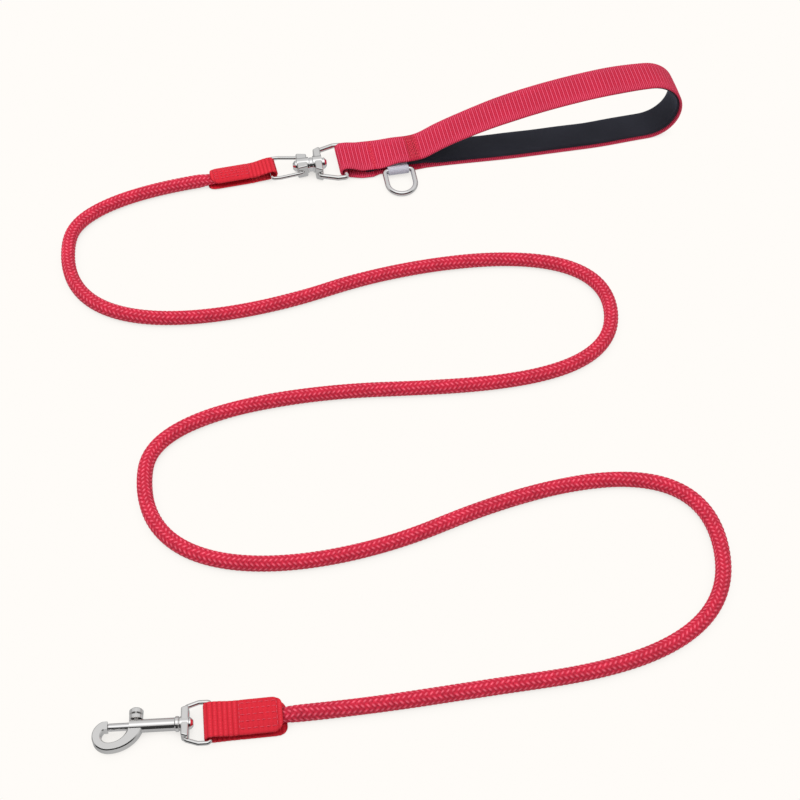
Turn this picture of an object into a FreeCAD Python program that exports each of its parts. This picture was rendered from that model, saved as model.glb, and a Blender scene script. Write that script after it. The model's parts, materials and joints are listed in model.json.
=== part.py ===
import FreeCAD, Part
import math
import os

import Sketcher
from FreeCAD import Placement, Rotation, Vector

# Rope training leash, laid out on a flat floor in a double S. Millimetres, +Z up, the floor is z = 0
# and the origin is the middle of the laid-out leash. From one end to the other it is made of
#   a padded hand loop with a swinging D-ring,
#   a swivel of two frames on one double-headed rivet,
#   a stitched sleeve, a braided rope in five runs, a second stitched sleeve,
#   a swivel eye and a snap hook with a sprung bolt.

doc = FreeCAD.newDocument("training_leash")
sheet = doc.addObject("Spreadsheet::Sheet", "Sizes")
sheet.Label = "sizes"

DRIVING_SIZES = {
    # Rope: a braided tube over a soft core, pressed flat where a sleeve holds it.
    "rope_radius": 4.0,
    "sheath_bore": 2.8,
    "core_radius": 2.75,
    "joint_gap": 0.35,
    "axis_height": 4.0,
    "flat_half_width": 5.2,
    "flat_half_height": 2.75,
    "flat_bore_width": 4.0,
    "flat_bore_height": 1.55,
    "core_play": 0.05,
    "taper_length": 7.0,
    "tail_gap": 0.5,
    "tail_step": 0.1,
    # Sleeves: one strip of webbing folded over a bar and sewn round the end of the rope.
    "handle_sleeve_length": 37.0,
    "hook_sleeve_length": 33.5,
    "sleeve_thickness": 1.2,
    "sleeve_shoulder": 12.0,
    "handle_sleeve_width": 13.0,
    "hook_sleeve_width": 18.4,
    "small_eyelet": 3.2,
    "sleeve_corner": 3.5,
    "sleeve_seam_margin": 3.2,
    "sleeve_seam_start": 2.0,
    "sleeve_seam_end": 4.0,
    # Hand loop: webbing with a soft lining, sewn together next to the swivel.
    "webbing_width": 23.0,
    "webbing_thickness": 1.6,
    "lining_width": 20.0,
    "lining_thickness": 2.35,
    "lining_start": 12.0,
    "lining_play": 0.02,
    "waist_length": 38.0,
    "loop_length": 208.5,
    "loop_end_radius": 20.5,
    "rise_length": 22.0,
    "rise_height": 7.5,
    "rise_angle": 24.0,
    "crest_reach": 30.8,
    "top_reach": 44.0,
    # Thread.
    "thread_width": 0.5,
    "thread_height": 0.25,
    "thread_stitch": 1.7,
    "thread_pitch": 2.4,
    "thread_lift": 0.01,
    "front_seam": 17.2,
    "seam_spacing": 1.8,
    "seam_margin": 1.5,
    # D-ring and its tab.
    "ring_wire": 1.5,
    "ring_corner": 2.1,
    "ring_half_width": 8.5,
    "ring_depth": 18.5,
    "ring_offset": 14.4,
    "ring_along": 31.0,
    "tab_width": 12.5,
    "tab_thickness": 0.8,
    "tab_depth": 12.0,
    "tab_play": 0.2,
    "tab_slope": 1.2,
    "tab_gap": 0.03,
    "pocket_play": 0.3,
    # Swivel between hand loop and rope, measured from the middle of its washer.
    "small_bar": 24.3,
    "small_wire": 1.1,
    "small_bar_half": 8.9,
    "small_base_half": 6.8,
    "swivel_lift": 1.0,
    "frame_shoulder": 5.5,
    "frame_corner": 1.76,
    "base_edge": 0.9,
    "small_base_inner": 8.5,
    "small_base_outer": 2.2,
    "small_base_front": 5.6,
    "small_base_height": 8.6,
    "small_boss_end": 1.3,
    "small_boss_radius": 4.7,
    "large_bar": 20.3,
    "large_wire": 1.5,
    "large_bar_half": 14.6,
    "large_base_half": 11.0,
    "large_base_inner": 6.6,
    "large_base_outer": 2.2,
    "large_base_front": 8.6,
    "large_base_height": 9.2,
    "large_boss_end": 1.3,
    "large_boss_radius": 5.0,
    "pin_radius": 1.8,
    "pin_play": 0.08,
    "pin_head_radius": 3.3,
    "pin_head_length": 2.3,
    "pin_head_rim": 0.9,
    "pin_dome_rim": 1.6,
    "pin_dome_length": 2.9,
    "washer_radius": 4.2,
    "washer_half_length": 0.9,
    # Snap hook, measured from the bar of its swivel eye.
    "eye_bar": 0.0,
    "eye_wire": 1.1,
    "eye_bar_half": 10.6,
    "eye_base_half": 8.4,
    "eye_base_inner": 9.8,
    "eye_base_outer": 13.4,
    "eye_base_front": 7.2,
    "eye_base_height": 6.6,
    "eye_boss_end": 13.9,
    "eye_boss_radius": 3.4,
    "rivet_radius": 1.5,
    "rivet_head_radius": 2.7,
    "rivet_head_length": 1.9,
    "rivet_head_rim": 0.8,
    "press_play": 0.02,
    "barrel_rear": 14.1,
    "collar_radius": 3.6,
    "collar_length": 2.2,
    "collar_edge": 0.5,
    "barrel_radius": 3.05,
    "barrel_bore": 2.05,
    "barrel_front": 37.0,
    "spring_seat": 17.3,
    "plunger_radius": 1.95,
    "plunger_rear": 27.6,
    "plunger_front": 36.6,
    "bolt_radius": 1.85,
    "bolt_tip": 46.9,
    "bolt_edge": 0.4,
    "slot_half_width": 1.15,
    "slot_rear": 24.6,
    "stud_along": 34.2,
    "stud_stem_radius": 1.0,
    "stud_stem_far": 1.4,
    "stud_base_radius": 3.2,
    "stud_base_near": 3.2,
    "stud_base_far": 5.0,
    "stud_neck_radius": 2.5,
    "stud_cap_near": 5.9,
    "stud_cap_far": 8.4,
    "stud_cap_radius": 3.3,
    "stud_edge": 0.6,
    "hook_half_thickness": 2.2,
    "hook_bevel": 0.5,
    "hook_middle": 46.2,
    "hook_outer_y": 4.8,
    "hook_outer_radius": 7.8,
    "hook_outer_back": 16.0,
    "hook_inner_y": 4.9,
    "hook_inner_radius": 3.7,
    "hook_inner_back": 8.8,
    "nose_face": 47.0,
    "nose_half": 2.1,
    "nose_lip": 0.2,
    "throat_play": 0.1,
    "heel_sink": 1.0,
    "spring_radius": 1.55,
    "spring_wire": 0.25,
    "spring_pitch": 1.6,
    "spring_play": 0.05,
    # How far a cutting shape reaches past what it cuts.
    "overshoot": 1.0,
    # Lie of the straight stretches: headings in degrees from +X.
    "layout_x": 3.0,
    "layout_y": -0.56,
    "swivel_x": -45.2,
    "swivel_y": 170.0,
    "swivel_heading": 9.0,
    "handle_heading": 11.0,
    "handle_sleeve_heading": 14.0,
    "hook_bar_x": -78.6,
    "hook_bar_y": -209.2,
    "hook_heading": 183.5,
    "hook_sleeve_heading": 186.5,
    "handle_shift": 1.2,
    "sleeve_shift": 0.7,
    "ring_droop": 7.6,
}

for row, (alias, number) in enumerate(DRIVING_SIZES.items(), start=1):
    sheet.set(f"A{row}", alias)
    sheet.set(f"B{row}", str(number))
    sheet.setAlias(f"B{row}", alias)
doc.recompute()


class Sizes:
    """The sheet's numbers, read by name: size.rope_radius."""

    def __getattr__(self, alias):
        return float(sheet.get(alias))


REAR_ROWS = 3
size = Sizes()
parts = []


def bind(thing, **expressions):
    """Bind properties of a document object to expressions of the sheet's aliases."""
    for name, expression in expressions.items():
        thing.setExpression(name, in_sheet(expression))


def in_sheet(expression):
    """An expression written in bare aliases, with each alias pointed at the sheet."""
    words = expression.replace("(", "( ").replace(")", " )").split()
    return " ".join(f"<<sizes>>.{word}" if word in DRIVING_SIZES else word for word in words)


def keep(thing, label, placement=None):
    """Name a finished sub-part, and lay it where it belongs in the leash."""
    thing.Label = label
    if placement is not None:
        thing.Placement = placement.multiply(thing.Placement)
    parts.append(thing)
    return thing


def shaped(label, shape, placement=None):
    """A sub-part whose form no feature describes, such as a strap that follows a curve."""
    feature = doc.addObject("Part::Feature", label)
    feature.Shape = shape
    return keep(feature, label, placement)


def lie(x, y, heading, height=None):
    """A placement on the floor plan, facing a heading in degrees."""
    level = size.axis_height if height is None else height
    middle = Vector(x + size.layout_x, y + size.layout_y, level)
    return Placement(middle, Rotation(Vector(0, 0, 1), heading))


# ---------------------------------------------------------------- sketches and bodies


def plane_of(body, role):
    """One of a body's own origin planes, such as XY_Plane."""
    return next(feature for feature in body.Origin.OriginFeatures if feature.Role == role)


def new_sketch(body, name, role):
    sketch = body.newObject("Sketcher::SketchObject", name)
    sketch.AttachmentSupport = [(plane_of(body, role), "")]
    sketch.MapMode = "FlatFace"
    return sketch


def polygon(sketch, corners):
    """A closed outline of straight lines. Each corner is a pair of sheet expressions."""
    values = [[sheet_value(expression) for expression in corner] for corner in corners]
    points = [Vector(x, y, 0) for x, y in values]
    first = sketch.GeometryCount
    count = len(points)
    for index in range(count):
        sketch.addGeometry(Part.LineSegment(points[index], points[(index + 1) % count]), False)
    for index in range(count):
        following = first + (index + 1) % count
        sketch.addConstraint(Sketcher.Constraint("Coincident", first + index, 2, following, 1))
    for index, corner in enumerate(corners):
        for kind, expression, number in zip(("DistanceX", "DistanceY"), corner, values[index]):
            pin_corner(sketch, kind, first + index, expression, number)


def pin_corner(sketch, kind, line, expression, number):
    """Fix one coordinate of a line's start, by a bound dimension or on the sketch's axis."""
    if expression == "0":
        axis = -2 if kind == "DistanceX" else -1
        sketch.addConstraint(Sketcher.Constraint("PointOnObject", line, 1, axis))
        return
    index = sketch.addConstraint(Sketcher.Constraint(kind, -1, 1, line, 1, number))
    sketch.setExpression(f"Constraints[{index}]", in_sheet(expression))


def sheet_value(expression):
    """The number that an expression of the sheet's aliases stands for."""
    total = 0.0
    sign = 1.0
    for word in expression.split():
        if word in "+-":
            sign = -1.0 if word == "-" else 1.0
            continue
        total += sign * (DRIVING_SIZES[word] if word in DRIVING_SIZES else float(word))
        sign = 1.0
    return total


def turned(body, name, corners, additive=True):
    """Turn an outline of (along X, radius) corners about the X axis."""
    sketch = new_sketch(body, f"{name}_outline", "XZ_Plane")
    polygon(sketch, corners)
    kind = "PartDesign::Revolution" if additive else "PartDesign::Groove"
    feature = body.newObject(kind, name)
    feature.Profile = sketch
    feature.ReferenceAxis = (sketch, ["H_Axis"])
    feature.Angle = 360
    doc.recompute()
    return feature


def padded(body, name, sketch, thickness):
    """Pad a sketch to both sides by an expression's length in all."""
    feature = body.newObject("PartDesign::Pad", name)
    feature.Profile = sketch
    feature.Midplane = True
    bind(feature, Length=thickness)
    doc.recompute()
    return feature


def rounded_edges(corners, radius):
    """The edges of a closed polygon whose corners are rounded to one radius."""
    count = len(corners)
    cuts = []
    for index in range(count):
        corner = corners[index]
        back = (corners[index - 1] - corner).normalize()
        ahead = (corners[(index + 1) % count] - corner).normalize()
        half_angle = back.getAngle(ahead) / 2
        reach = radius / math.tan(half_angle)
        middle = corner + (back + ahead).normalize() * (radius / math.sin(half_angle) - radius)
        cuts.append((corner + back * reach, middle, corner + ahead * reach))
    edges = []
    for index, (start, middle, end) in enumerate(cuts):
        edges.append(Part.Arc(start, middle, end))
        edges.append(Part.LineSegment(end, cuts[(index + 1) % count][0]))
    return edges


def wire_ring(body, name, corners, corner_radius, wire):
    """A closed ring of round wire through corners in the XY plane, the first two on its bar."""
    path = new_sketch(body, f"{name}_path", "XY_Plane")
    for edge in rounded_edges(corners, corner_radius):
        path.addGeometry(edge, False)
    section = new_sketch(body, f"{name}_section", "XZ_Plane")
    wire_radius = sheet_value(wire)
    section.addGeometry(Part.Circle(Vector(corners[0].x, 0, 0), Vector(0, 0, 1), wire_radius), False)
    radius = section.addConstraint(Sketcher.Constraint("Radius", 0, wire_radius))
    section.setExpression(f"Constraints[{radius}]", in_sheet(wire))
    doc.recompute()
    ring = body.newObject("PartDesign::AdditivePipe", name)
    ring.Profile = section
    ring.Spine = path
    doc.recompute()
    return ring


# ---------------------------------------------------------------- swivel frames


def frame_corners(prefix, bar, base):
    """A frame's outline: parallel arms next to the bar, which then draw in to the base."""
    bar_half = getattr(size, f"{prefix}_bar_half")
    base_half = getattr(size, f"{prefix}_base_half")
    shoulder = bar + math.copysign(size.frame_shoulder, base - bar)
    far_side = [(bar, bar_half), (shoulder, bar_half), (base, base_half)]
    near_side = [(x, -y) for x, y in far_side]
    return [Vector(x, y, 0) for x, y in near_side[:1] + far_side + near_side[:0:-1]]


def swivel_frame(label, side, prefix, bore, placement):
    """A wire frame with a bar for the strap, and a cast base with a boss for the rivet.

    side says whether the frame's distances run along +X (1) or along -X (-1).
    """
    bar, inner, outer, boss_end = (
        side * getattr(size, f"{prefix}_{name}")
        for name in ("bar", "base_inner", "base_outer", "boss_end")
    )
    body = doc.addObject("PartDesign::Body", label)
    sign = "-" if side < 0 else ""
    base = new_sketch(body, "base_outline", "XY_Plane")
    ends = [f"{sign} {prefix}_base_inner".strip(), f"{sign} {prefix}_base_outer".strip()]
    half, front = f"{prefix}_base_half", f"{prefix}_base_front"
    polygon(base, [(ends[0], f"- {half}"), (ends[1], f"- {front}"), (ends[1], front), (ends[0], half)])
    padded(body, "base", base, f"{prefix}_base_height")
    rounded_base(body)
    corners = frame_corners(prefix, bar, (inner + outer) / 2)
    wire_ring(body, "ring", corners, size.frame_corner, f"{prefix}_wire")
    boss = f"{prefix}_boss_radius"
    boss_far = f"{sign} {prefix}_boss_end".strip()
    turned(body, "boss", [(ends[0], "0"), (ends[0], boss), (boss_far, boss), (boss_far, "0")])
    ring_bore(body, ends[0], boss_far, bore)
    return keep(body, label, placement)


def rounded_base(body):
    """Round every edge of a frame's base, as on a casting."""
    base = body.Tip
    rounding = body.newObject("PartDesign::Fillet", "base_rounding")
    rounding.Base = (base, [f"Edge{index + 1}" for index in range(len(base.Shape.Edges))])
    bind(rounding, Radius="base_edge")
    doc.recompute()


def ring_bore(body, start, end, bore):
    """Cut the rivet's bore along X through a boss, and check that it took metal away."""
    before = body.Shape.Volume
    turned(body, "bore", [(start, "0"), (start, bore), (end, bore), (end, "0")], additive=False)
    if body.Shape.Volume >= before:
        raise RuntimeError(f"{body.Label}: the bore cut nothing")


def swivel_pin(placement):
    """The double-headed rivet that both frames turn on."""
    body = doc.addObject("PartDesign::Body", "swivel_pin")
    rear, front = "- small_base_inner - pin_play", "large_base_inner + pin_play"
    corners = [
        (f"{rear} - pin_head_length", "0"),
        (f"{rear} - pin_head_length", "pin_radius"),
        (f"{rear} - pin_head_rim", "pin_head_radius"),
        (rear, "pin_head_radius"),
        (rear, "pin_radius"),
        (front, "pin_radius"),
        (front, "pin_head_radius"),
        (f"{front} + pin_dome_rim", "pin_head_radius"),
        (f"{front} + pin_dome_length", "pin_radius"),
        (f"{front} + pin_dome_length", "0"),
    ]
    turned(body, "rivet", corners)
    return keep(body, "swivel_pin", placement)


def swivel_washer(placement):
    """The washer between the two bosses."""
    body = doc.addObject("PartDesign::Body", "swivel_washer")
    bore = "pin_radius + pin_play"
    half = "washer_half_length"
    corners = [(f"- {half}", bore), (f"- {half}", "washer_radius"), (half, "washer_radius"), (half, bore)]
    turned(body, "washer", corners)
    return keep(body, "swivel_washer", placement)


# ---------------------------------------------------------------- snap hook


def eye_rivet(placement):
    """The rivet that holds the snap hook in its eye, and closes the barrel behind the spring."""
    body = doc.addObject("PartDesign::Body", "hook_rivet")
    head = "eye_base_inner - pin_play"
    corners = [
        (f"{head} - rivet_head_length", "0"),
        (f"{head} - rivet_head_length", "rivet_radius"),
        (f"{head} - rivet_head_rim", "rivet_head_radius"),
        (head, "rivet_head_radius"),
        (head, "rivet_radius"),
        ("spring_seat - pin_play", "rivet_radius"),
        ("spring_seat - pin_play", "0"),
    ]
    turned(body, "rivet", corners)
    return keep(body, "hook_rivet", placement)


def hook_arcs(centre_y, radius, back_radius, start_y, end_y):
    """One side of the C: a tight arc round its tip, then a wide one back to the barrel.

    The two arcs meet where the C is deepest, and share their tangent there.
    """
    up = Vector(0, 0, 1)
    tip = Vector(size.hook_middle, centre_y, 0)
    back = Vector(size.hook_middle, centre_y + radius - back_radius, 0)
    start = math.asin((start_y - tip.y) / radius)
    end = math.pi - math.asin((end_y - back.y) / back_radius)
    return [
        Part.ArcOfCircle(Part.Circle(tip, up, radius), start, math.pi / 2),
        Part.ArcOfCircle(Part.Circle(back, up, back_radius), math.pi / 2, end),
    ]


def hook_outline(sketch):
    """The open C of the hook, with a heel sunk into the barrel and a blunt nose."""
    throat = size.barrel_bore + size.throat_play
    lip = size.nose_half - size.nose_lip
    outer = hook_arcs(
        size.hook_outer_y, size.hook_outer_radius, size.hook_outer_back, -size.nose_half, size.heel_sink
    )
    inner = hook_arcs(size.hook_inner_y, size.hook_inner_radius, size.hook_inner_back, lip, throat)
    heel = outer[-1].EndPoint
    straights = [
        heel,
        Vector(heel.x, 0, 0),
        Vector(size.barrel_front, 0, 0),
        Vector(size.barrel_front, throat, 0),
        inner[-1].EndPoint,
    ]
    blunt = [
        inner[0].StartPoint,
        Vector(size.nose_face, lip, 0),
        Vector(size.nose_face, -size.nose_half, 0),
        outer[0].StartPoint,
    ]
    for arc in outer + inner:
        sketch.addGeometry(arc, False)
    for chain in (straights, blunt):
        for start, end in zip(chain, chain[1:]):
            sketch.addGeometry(Part.LineSegment(start, end), False)


def hook_body(placement):
    """Barrel, C and nose in one casting, bored for the bolt and slotted for its stud."""
    body = doc.addObject("PartDesign::Body", "hook_body")
    outline = new_sketch(body, "hook_outline", "XY_Plane")
    hook_outline(outline)
    padded(body, "hook", outline, "2 * hook_half_thickness")
    bevel_arcs(body)
    collar_end = "barrel_rear + collar_length"
    corners = [
        ("barrel_rear", "0"),
        ("barrel_rear", "collar_radius - collar_edge"),
        ("barrel_rear + collar_edge", "collar_radius"),
        (f"{collar_end} - collar_edge", "collar_radius"),
        (collar_end, "barrel_radius"),
        ("barrel_front", "barrel_radius"),
        ("barrel_front", "0"),
    ]
    turned(body, "barrel", corners)
    bores = [
        ("barrel_rear", "0"),
        ("barrel_rear", "rivet_radius + press_play"),
        ("spring_seat", "rivet_radius + press_play"),
        ("spring_seat", "barrel_bore"),
        ("barrel_front + overshoot", "barrel_bore"),
        ("barrel_front + overshoot", "0"),
    ]
    turned(body, "bores", bores, additive=False)
    before = body.Shape.Volume
    slot = new_sketch(body, "slot_outline", "XY_Plane")
    polygon(
        slot,
        [
            ("slot_rear", "0"),
            ("barrel_front + overshoot", "0"),
            ("barrel_front + overshoot", "- barrel_radius - overshoot"),
            ("slot_rear", "- barrel_radius - overshoot"),
        ],
    )
    cut = body.newObject("PartDesign::Pocket", "slot")
    cut.Profile = slot
    cut.Midplane = True
    bind(cut, Length="2 * slot_half_width")
    doc.recompute()
    if body.Shape.Volume >= before:
        raise RuntimeError("hook_body: the slot cut nothing")
    return keep(body, "hook_body", placement)


def bevel_arcs(body):
    """Bevel the hook's two curved sides, top and bottom."""
    arcs = []
    for index, edge in enumerate(body.Shape.Edges, start=1):
        flat = abs(edge.Vertexes[0].Z - edge.Vertexes[-1].Z) < 0.01
        if flat and isinstance(edge.Curve, Part.Circle):
            arcs.append(f"Edge{index}")
    hook = body.Tip
    bevel = body.newObject("PartDesign::Chamfer", "bevel")
    bevel.Base = (hook, arcs)
    bind(bevel, Size="hook_bevel")
    doc.recompute()


def bolt(placement):
    """The bolt: a plunger in the barrel with a thinner rod that closes the hook's mouth."""
    body = doc.addObject("PartDesign::Body", "bolt")
    corners = [
        ("plunger_rear", "0"),
        ("plunger_rear", "plunger_radius"),
        ("plunger_front", "plunger_radius"),
        ("plunger_front", "bolt_radius"),
        ("bolt_tip - bolt_edge", "bolt_radius"),
        ("bolt_tip", "bolt_radius - bolt_edge"),
        ("bolt_tip", "0"),
    ]
    turned(body, "rod", corners)
    before = body.Shape.Volume
    seat = new_sketch(body, "stud_seat_outline", "XZ_Plane")
    seat.addGeometry(Part.Circle(Vector(size.stud_along, 0, 0), Vector(0, 0, 1), size.stud_stem_radius), False)
    hole = body.newObject("PartDesign::Pocket", "stud_seat")
    hole.Profile = seat
    hole.Midplane = True
    bind(hole, Length="2 * plunger_radius + overshoot")
    doc.recompute()
    if body.Shape.Volume >= before:
        raise RuntimeError("bolt: the stud's seat cut nothing")
    return keep(body, "bolt", placement)


def thumb_stud(placement):
    """The knob that draws the bolt back, on a stem pressed into the plunger."""
    body = doc.addObject("PartDesign::Body", "thumb_stud")
    stem = "stud_stem_radius - press_play"
    corners = [
        ("- stud_stem_far", "0"),
        ("- stud_stem_far", stem),
        ("stud_base_near", stem),
        ("stud_base_near", "stud_base_radius"),
        ("stud_base_far", "stud_base_radius"),
        ("stud_base_far", "stud_neck_radius"),
        ("stud_cap_near", "stud_neck_radius"),
        ("stud_cap_near", "stud_cap_radius"),
        ("stud_cap_far - stud_edge", "stud_cap_radius"),
        ("stud_cap_far", "stud_cap_radius - stud_edge"),
        ("stud_cap_far", "0"),
    ]
    turned(body, "stud", corners)
    outwards = Placement(Vector(size.stud_along, 0, 0), Rotation(Vector(0, 0, 1), -90))
    return keep(body, "thumb_stud", placement.multiply(outwards))


def bolt_spring(placement):
    """The coil spring between the rivet and the plunger."""
    helix = doc.addObject("Part::Helix", "spring_path")
    start = "spring_seat + spring_wire + spring_play"
    bind(
        helix,
        Pitch="spring_pitch",
        Height="plunger_rear - spring_seat - 2 * spring_wire - 2 * spring_play",
        Radius="spring_radius",
    )
    section = doc.addObject("Part::Circle", "spring_section")
    bind(section, Radius="spring_wire")
    section.Placement = Placement(Vector(size.spring_radius, 0, 0), Rotation(Vector(1, 0, 0), 90))
    doc.recompute()
    coil = doc.addObject("Part::Sweep", "bolt_spring")
    coil.Sections = [section]
    coil.Spine = (helix, ["Edge1"])
    coil.Solid = True
    coil.Frenet = True
    doc.recompute()
    along = Placement(Vector(sheet_value(start), 0, 0), Rotation(Vector(0, 1, 0), 90))
    return keep(coil, "bolt_spring", placement.multiply(along))


# ---------------------------------------------------------------- straps


def line(start, end):
    return Part.LineSegment(Vector(*start), Vector(*end)).toShape()


def curve(start, start_angle, start_reach, end, end_angle, end_reach):
    """A curve in the XZ plane that leaves and arrives at given angles from +X."""
    leave = Vector(math.cos(start_angle), 0, math.sin(start_angle)) * start_reach
    arrive = Vector(math.cos(end_angle), 0, math.sin(end_angle)) * end_reach
    bezier = Part.BezierCurve()
    bezier.setPoles([start, start + leave, end - arrive, end])
    return bezier.toShape()


def half_turn(centre, radius, side):
    """Half a circle in the XZ plane, from top to bottom round the side that side points to."""
    top = centre + Vector(0, 0, radius)
    middle = centre + Vector(side * radius, 0, 0)
    bottom = centre - Vector(0, 0, radius)
    return Part.Arc(top, middle, bottom).toShape()


def loop_outline(inset):
    """The hand loop's side view as a closed face, drawn in by an inset from its outside.

    x runs from the swivel's bar to the loop's end and z is counted from the rope's axis. The bar
    is a little higher, because the swivel rests on its bosses.
    """
    half = size.axis_height
    rise = math.radians(size.rise_angle)
    low = -half + inset
    waist = Vector(size.waist_length, 0, half - inset)
    crest = Vector(size.waist_length + size.rise_length, 0, half + size.rise_height)
    crest += Vector(math.sin(rise), 0, -math.cos(rise)) * inset
    centre = Vector(size.loop_length - size.loop_end_radius, 0, size.loop_end_radius - half)
    end_radius = size.loop_end_radius - inset
    top = centre + Vector(0, 0, end_radius)
    bottom = centre - Vector(0, 0, end_radius)
    bar = Vector(0, 0, size.swivel_lift)
    edges = [
        half_turn(bar, half - inset, -1),
        line(bar + Vector(0, 0, half - inset), waist),
        curve(waist, 0, size.rise_length / 2, crest, rise, size.rise_length / 2),
        curve(crest, rise, size.crest_reach, top, 0, size.top_reach),
        half_turn(centre, end_radius, 1),
        line(bottom, (size.waist_length, 0, low)),
        line((size.waist_length, 0, low), bar - Vector(0, 0, half - inset)),
    ]
    return Part.Face(Part.Wire(Part.__sortEdges__(edges)))


def across(face, width):
    """Give a side view in the XZ plane its width along Y, half to each side."""
    face.translate(Vector(0, -width / 2, 0))
    return face.extrude(Vector(0, width, 0))


def box(low, high):
    """A block between two corners."""
    spans = [b - a for a, b in zip(low, high)]
    return Part.makeBox(*spans, Vector(*low))


def handle_webbing(placement):
    """The red webbing: one closed loop that wraps the swivel's bar."""
    outer = across(loop_outline(0), size.webbing_width)
    inner = across(loop_outline(size.webbing_thickness), size.webbing_width)
    return shaped("handle_webbing", outer.cut(inner), placement)


def handle_lining(placement):
    """The soft lining inside the webbing. Its two ends lie together in the sewn stretch."""
    play = size.lining_play
    start = size.webbing_thickness + play
    outer = across(loop_outline(start), size.lining_width)
    inner = across(loop_outline(start + size.lining_thickness - play), size.lining_width)
    half_width = size.lining_width
    far = size.webbing_width
    clear = box((-far, -far, -far), (size.lining_start, far, far))
    pocket_half = size.tab_width / 2 + size.pocket_play
    pocket_height = size.tab_thickness + size.tab_play
    pocket = box(
        (size.ring_along - pocket_half, -half_width, -pocket_height),
        (size.ring_along + pocket_half, size.tab_depth - size.ring_offset + size.pocket_play, pocket_height),
    )
    return shaped("handle_lining", outer.cut(inner).cut(clear).cut(pocket), placement)


def strap_side(length, lift, inset):
    """A folded strap's side view: round a bar above the origin, then back as two layers."""
    half = size.axis_height
    shoulder = size.sleeve_shoulder
    bar = Vector(0, 0, lift)
    turn = Vector(0, 0, size.small_eyelet - inset)
    points = [
        bar + turn,
        Vector(shoulder, 0, half - inset),
        Vector(length, 0, half - inset),
        Vector(length, 0, inset - half),
        Vector(shoulder, 0, inset - half),
        bar - turn,
    ]
    edges = [line(a, b) for a, b in zip(points, points[1:])]
    edges.append(Part.Arc(points[0], bar - Vector(turn.z, 0, 0), points[-1]).toShape())
    return Part.Face(Part.Wire(Part.__sortEdges__(edges)))


def sleeve(label, length, width, lift, placement):
    """A strip of webbing folded over a bar, with rounded corners where the rope comes in."""
    outer = across(strap_side(length, lift, 0), width)
    inner = across(strap_side(length + size.overshoot, lift, size.sleeve_thickness), width)
    strap = outer.cut(inner)
    corners = [
        edge
        for edge in strap.Edges
        if abs(edge.BoundBox.XMin - length) < 0.01
        and edge.BoundBox.XLength < 0.01
        and edge.BoundBox.YLength < 0.01
    ]
    return shaped(label, strap.makeFillet(size.sleeve_corner, corners), placement)


def stitch_row(start, step, count, along, height):
    """Stitches of one row as blocks: a thread lies along X or along Y."""
    long, short = size.thread_stitch / 2, size.thread_width / 2
    half_x, half_y = (long, short) if along == "x" else (short, long)
    stitches = []
    for index in range(count):
        middle = start + step * index
        low = (middle.x - half_x, middle.y - half_y, height)
        high = (middle.x + half_x, middle.y + half_y, height + size.thread_height)
        stitches.append(box(low, high))
    return stitches


def cross_row(x, half_width, height):
    """A row of stitches that runs across a strap at one place."""
    count = int(2 * half_width / size.thread_pitch)
    first = -size.thread_pitch * (count - 1) / 2
    step = Vector(0, size.thread_pitch, 0)
    return stitch_row(Vector(x, first, 0), step, count, "y", height)


def long_row(start, end, y, height):
    """A row of stitches that runs along a strap from one place to another."""
    count = int((end - start) / size.thread_pitch)
    step = Vector(size.thread_pitch, 0, 0)
    return stitch_row(Vector(start + size.thread_pitch / 2, y, 0), step, count, "x", height)


def stitching(label, stitches, placement):
    """All the stitches of one seam, as a group of separate threads."""
    return shaped(label, Part.makeCompound(stitches), placement)


def sleeve_stitching(label, length, width, placement):
    """The box of stitches that holds a sleeve round the rope."""
    top = size.axis_height + size.thread_lift
    half = width / 2 - size.sleeve_seam_margin
    start = size.sleeve_shoulder + size.sleeve_seam_start
    end = length - size.sleeve_seam_end
    stitches = long_row(start, end, half, top) + long_row(start, end, -half, top)
    for x in (start - size.thread_width, end + size.thread_width):
        stitches += cross_row(x, half - size.thread_width, top)
    return stitching(label, stitches, placement)


# ---------------------------------------------------------------- D-ring


def d_ring(placement):
    """A D of round wire: a straight bar along X and a bow towards -Y."""
    body = doc.addObject("PartDesign::Body", "d_ring")
    path = new_sketch(body, "ring_path", "XY_Plane")
    half = size.ring_half_width
    shoulder = -(size.ring_depth - half)
    corner = size.ring_corner
    left, right = Vector(-half, 0, 0), Vector(half, 0, 0)
    turn = corner * (1 - math.sqrt(0.5))
    edges = [
        Part.LineSegment(left + Vector(corner, 0, 0), right - Vector(corner, 0, 0)),
        Part.Arc(right - Vector(corner, 0, 0), right - Vector(turn, turn, 0), right - Vector(0, corner, 0)),
        Part.LineSegment(right - Vector(0, corner, 0), Vector(half, shoulder, 0)),
        Part.Arc(Vector(half, shoulder, 0), Vector(0, shoulder - half, 0), Vector(-half, shoulder, 0)),
        Part.LineSegment(Vector(-half, shoulder, 0), left - Vector(0, corner, 0)),
        Part.Arc(left - Vector(0, corner, 0), left + Vector(turn, -turn, 0), left + Vector(corner, 0, 0)),
    ]
    for edge in edges:
        path.addGeometry(edge, False)
    section = new_sketch(body, "wire_section", "YZ_Plane")
    section.addGeometry(Part.Circle(Vector(0, 0, 0), Vector(0, 0, 1), size.ring_wire), False)
    section.addConstraint(Sketcher.Constraint("Coincident", 0, 3, -1, 1))
    radius = section.addConstraint(Sketcher.Constraint("Radius", 0, size.ring_wire))
    section.setExpression(f"Constraints[{radius}]", in_sheet("ring_wire"))
    doc.recompute()
    bow = body.newObject("PartDesign::AdditivePipe", "bow")
    bow.Profile = section
    bow.Spine = path
    doc.recompute()
    droop = Placement(Vector(0, 0, 0), Rotation(Vector(1, 0, 0), size.ring_droop))
    return keep(body, "d_ring", placement.multiply(droop))


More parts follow.
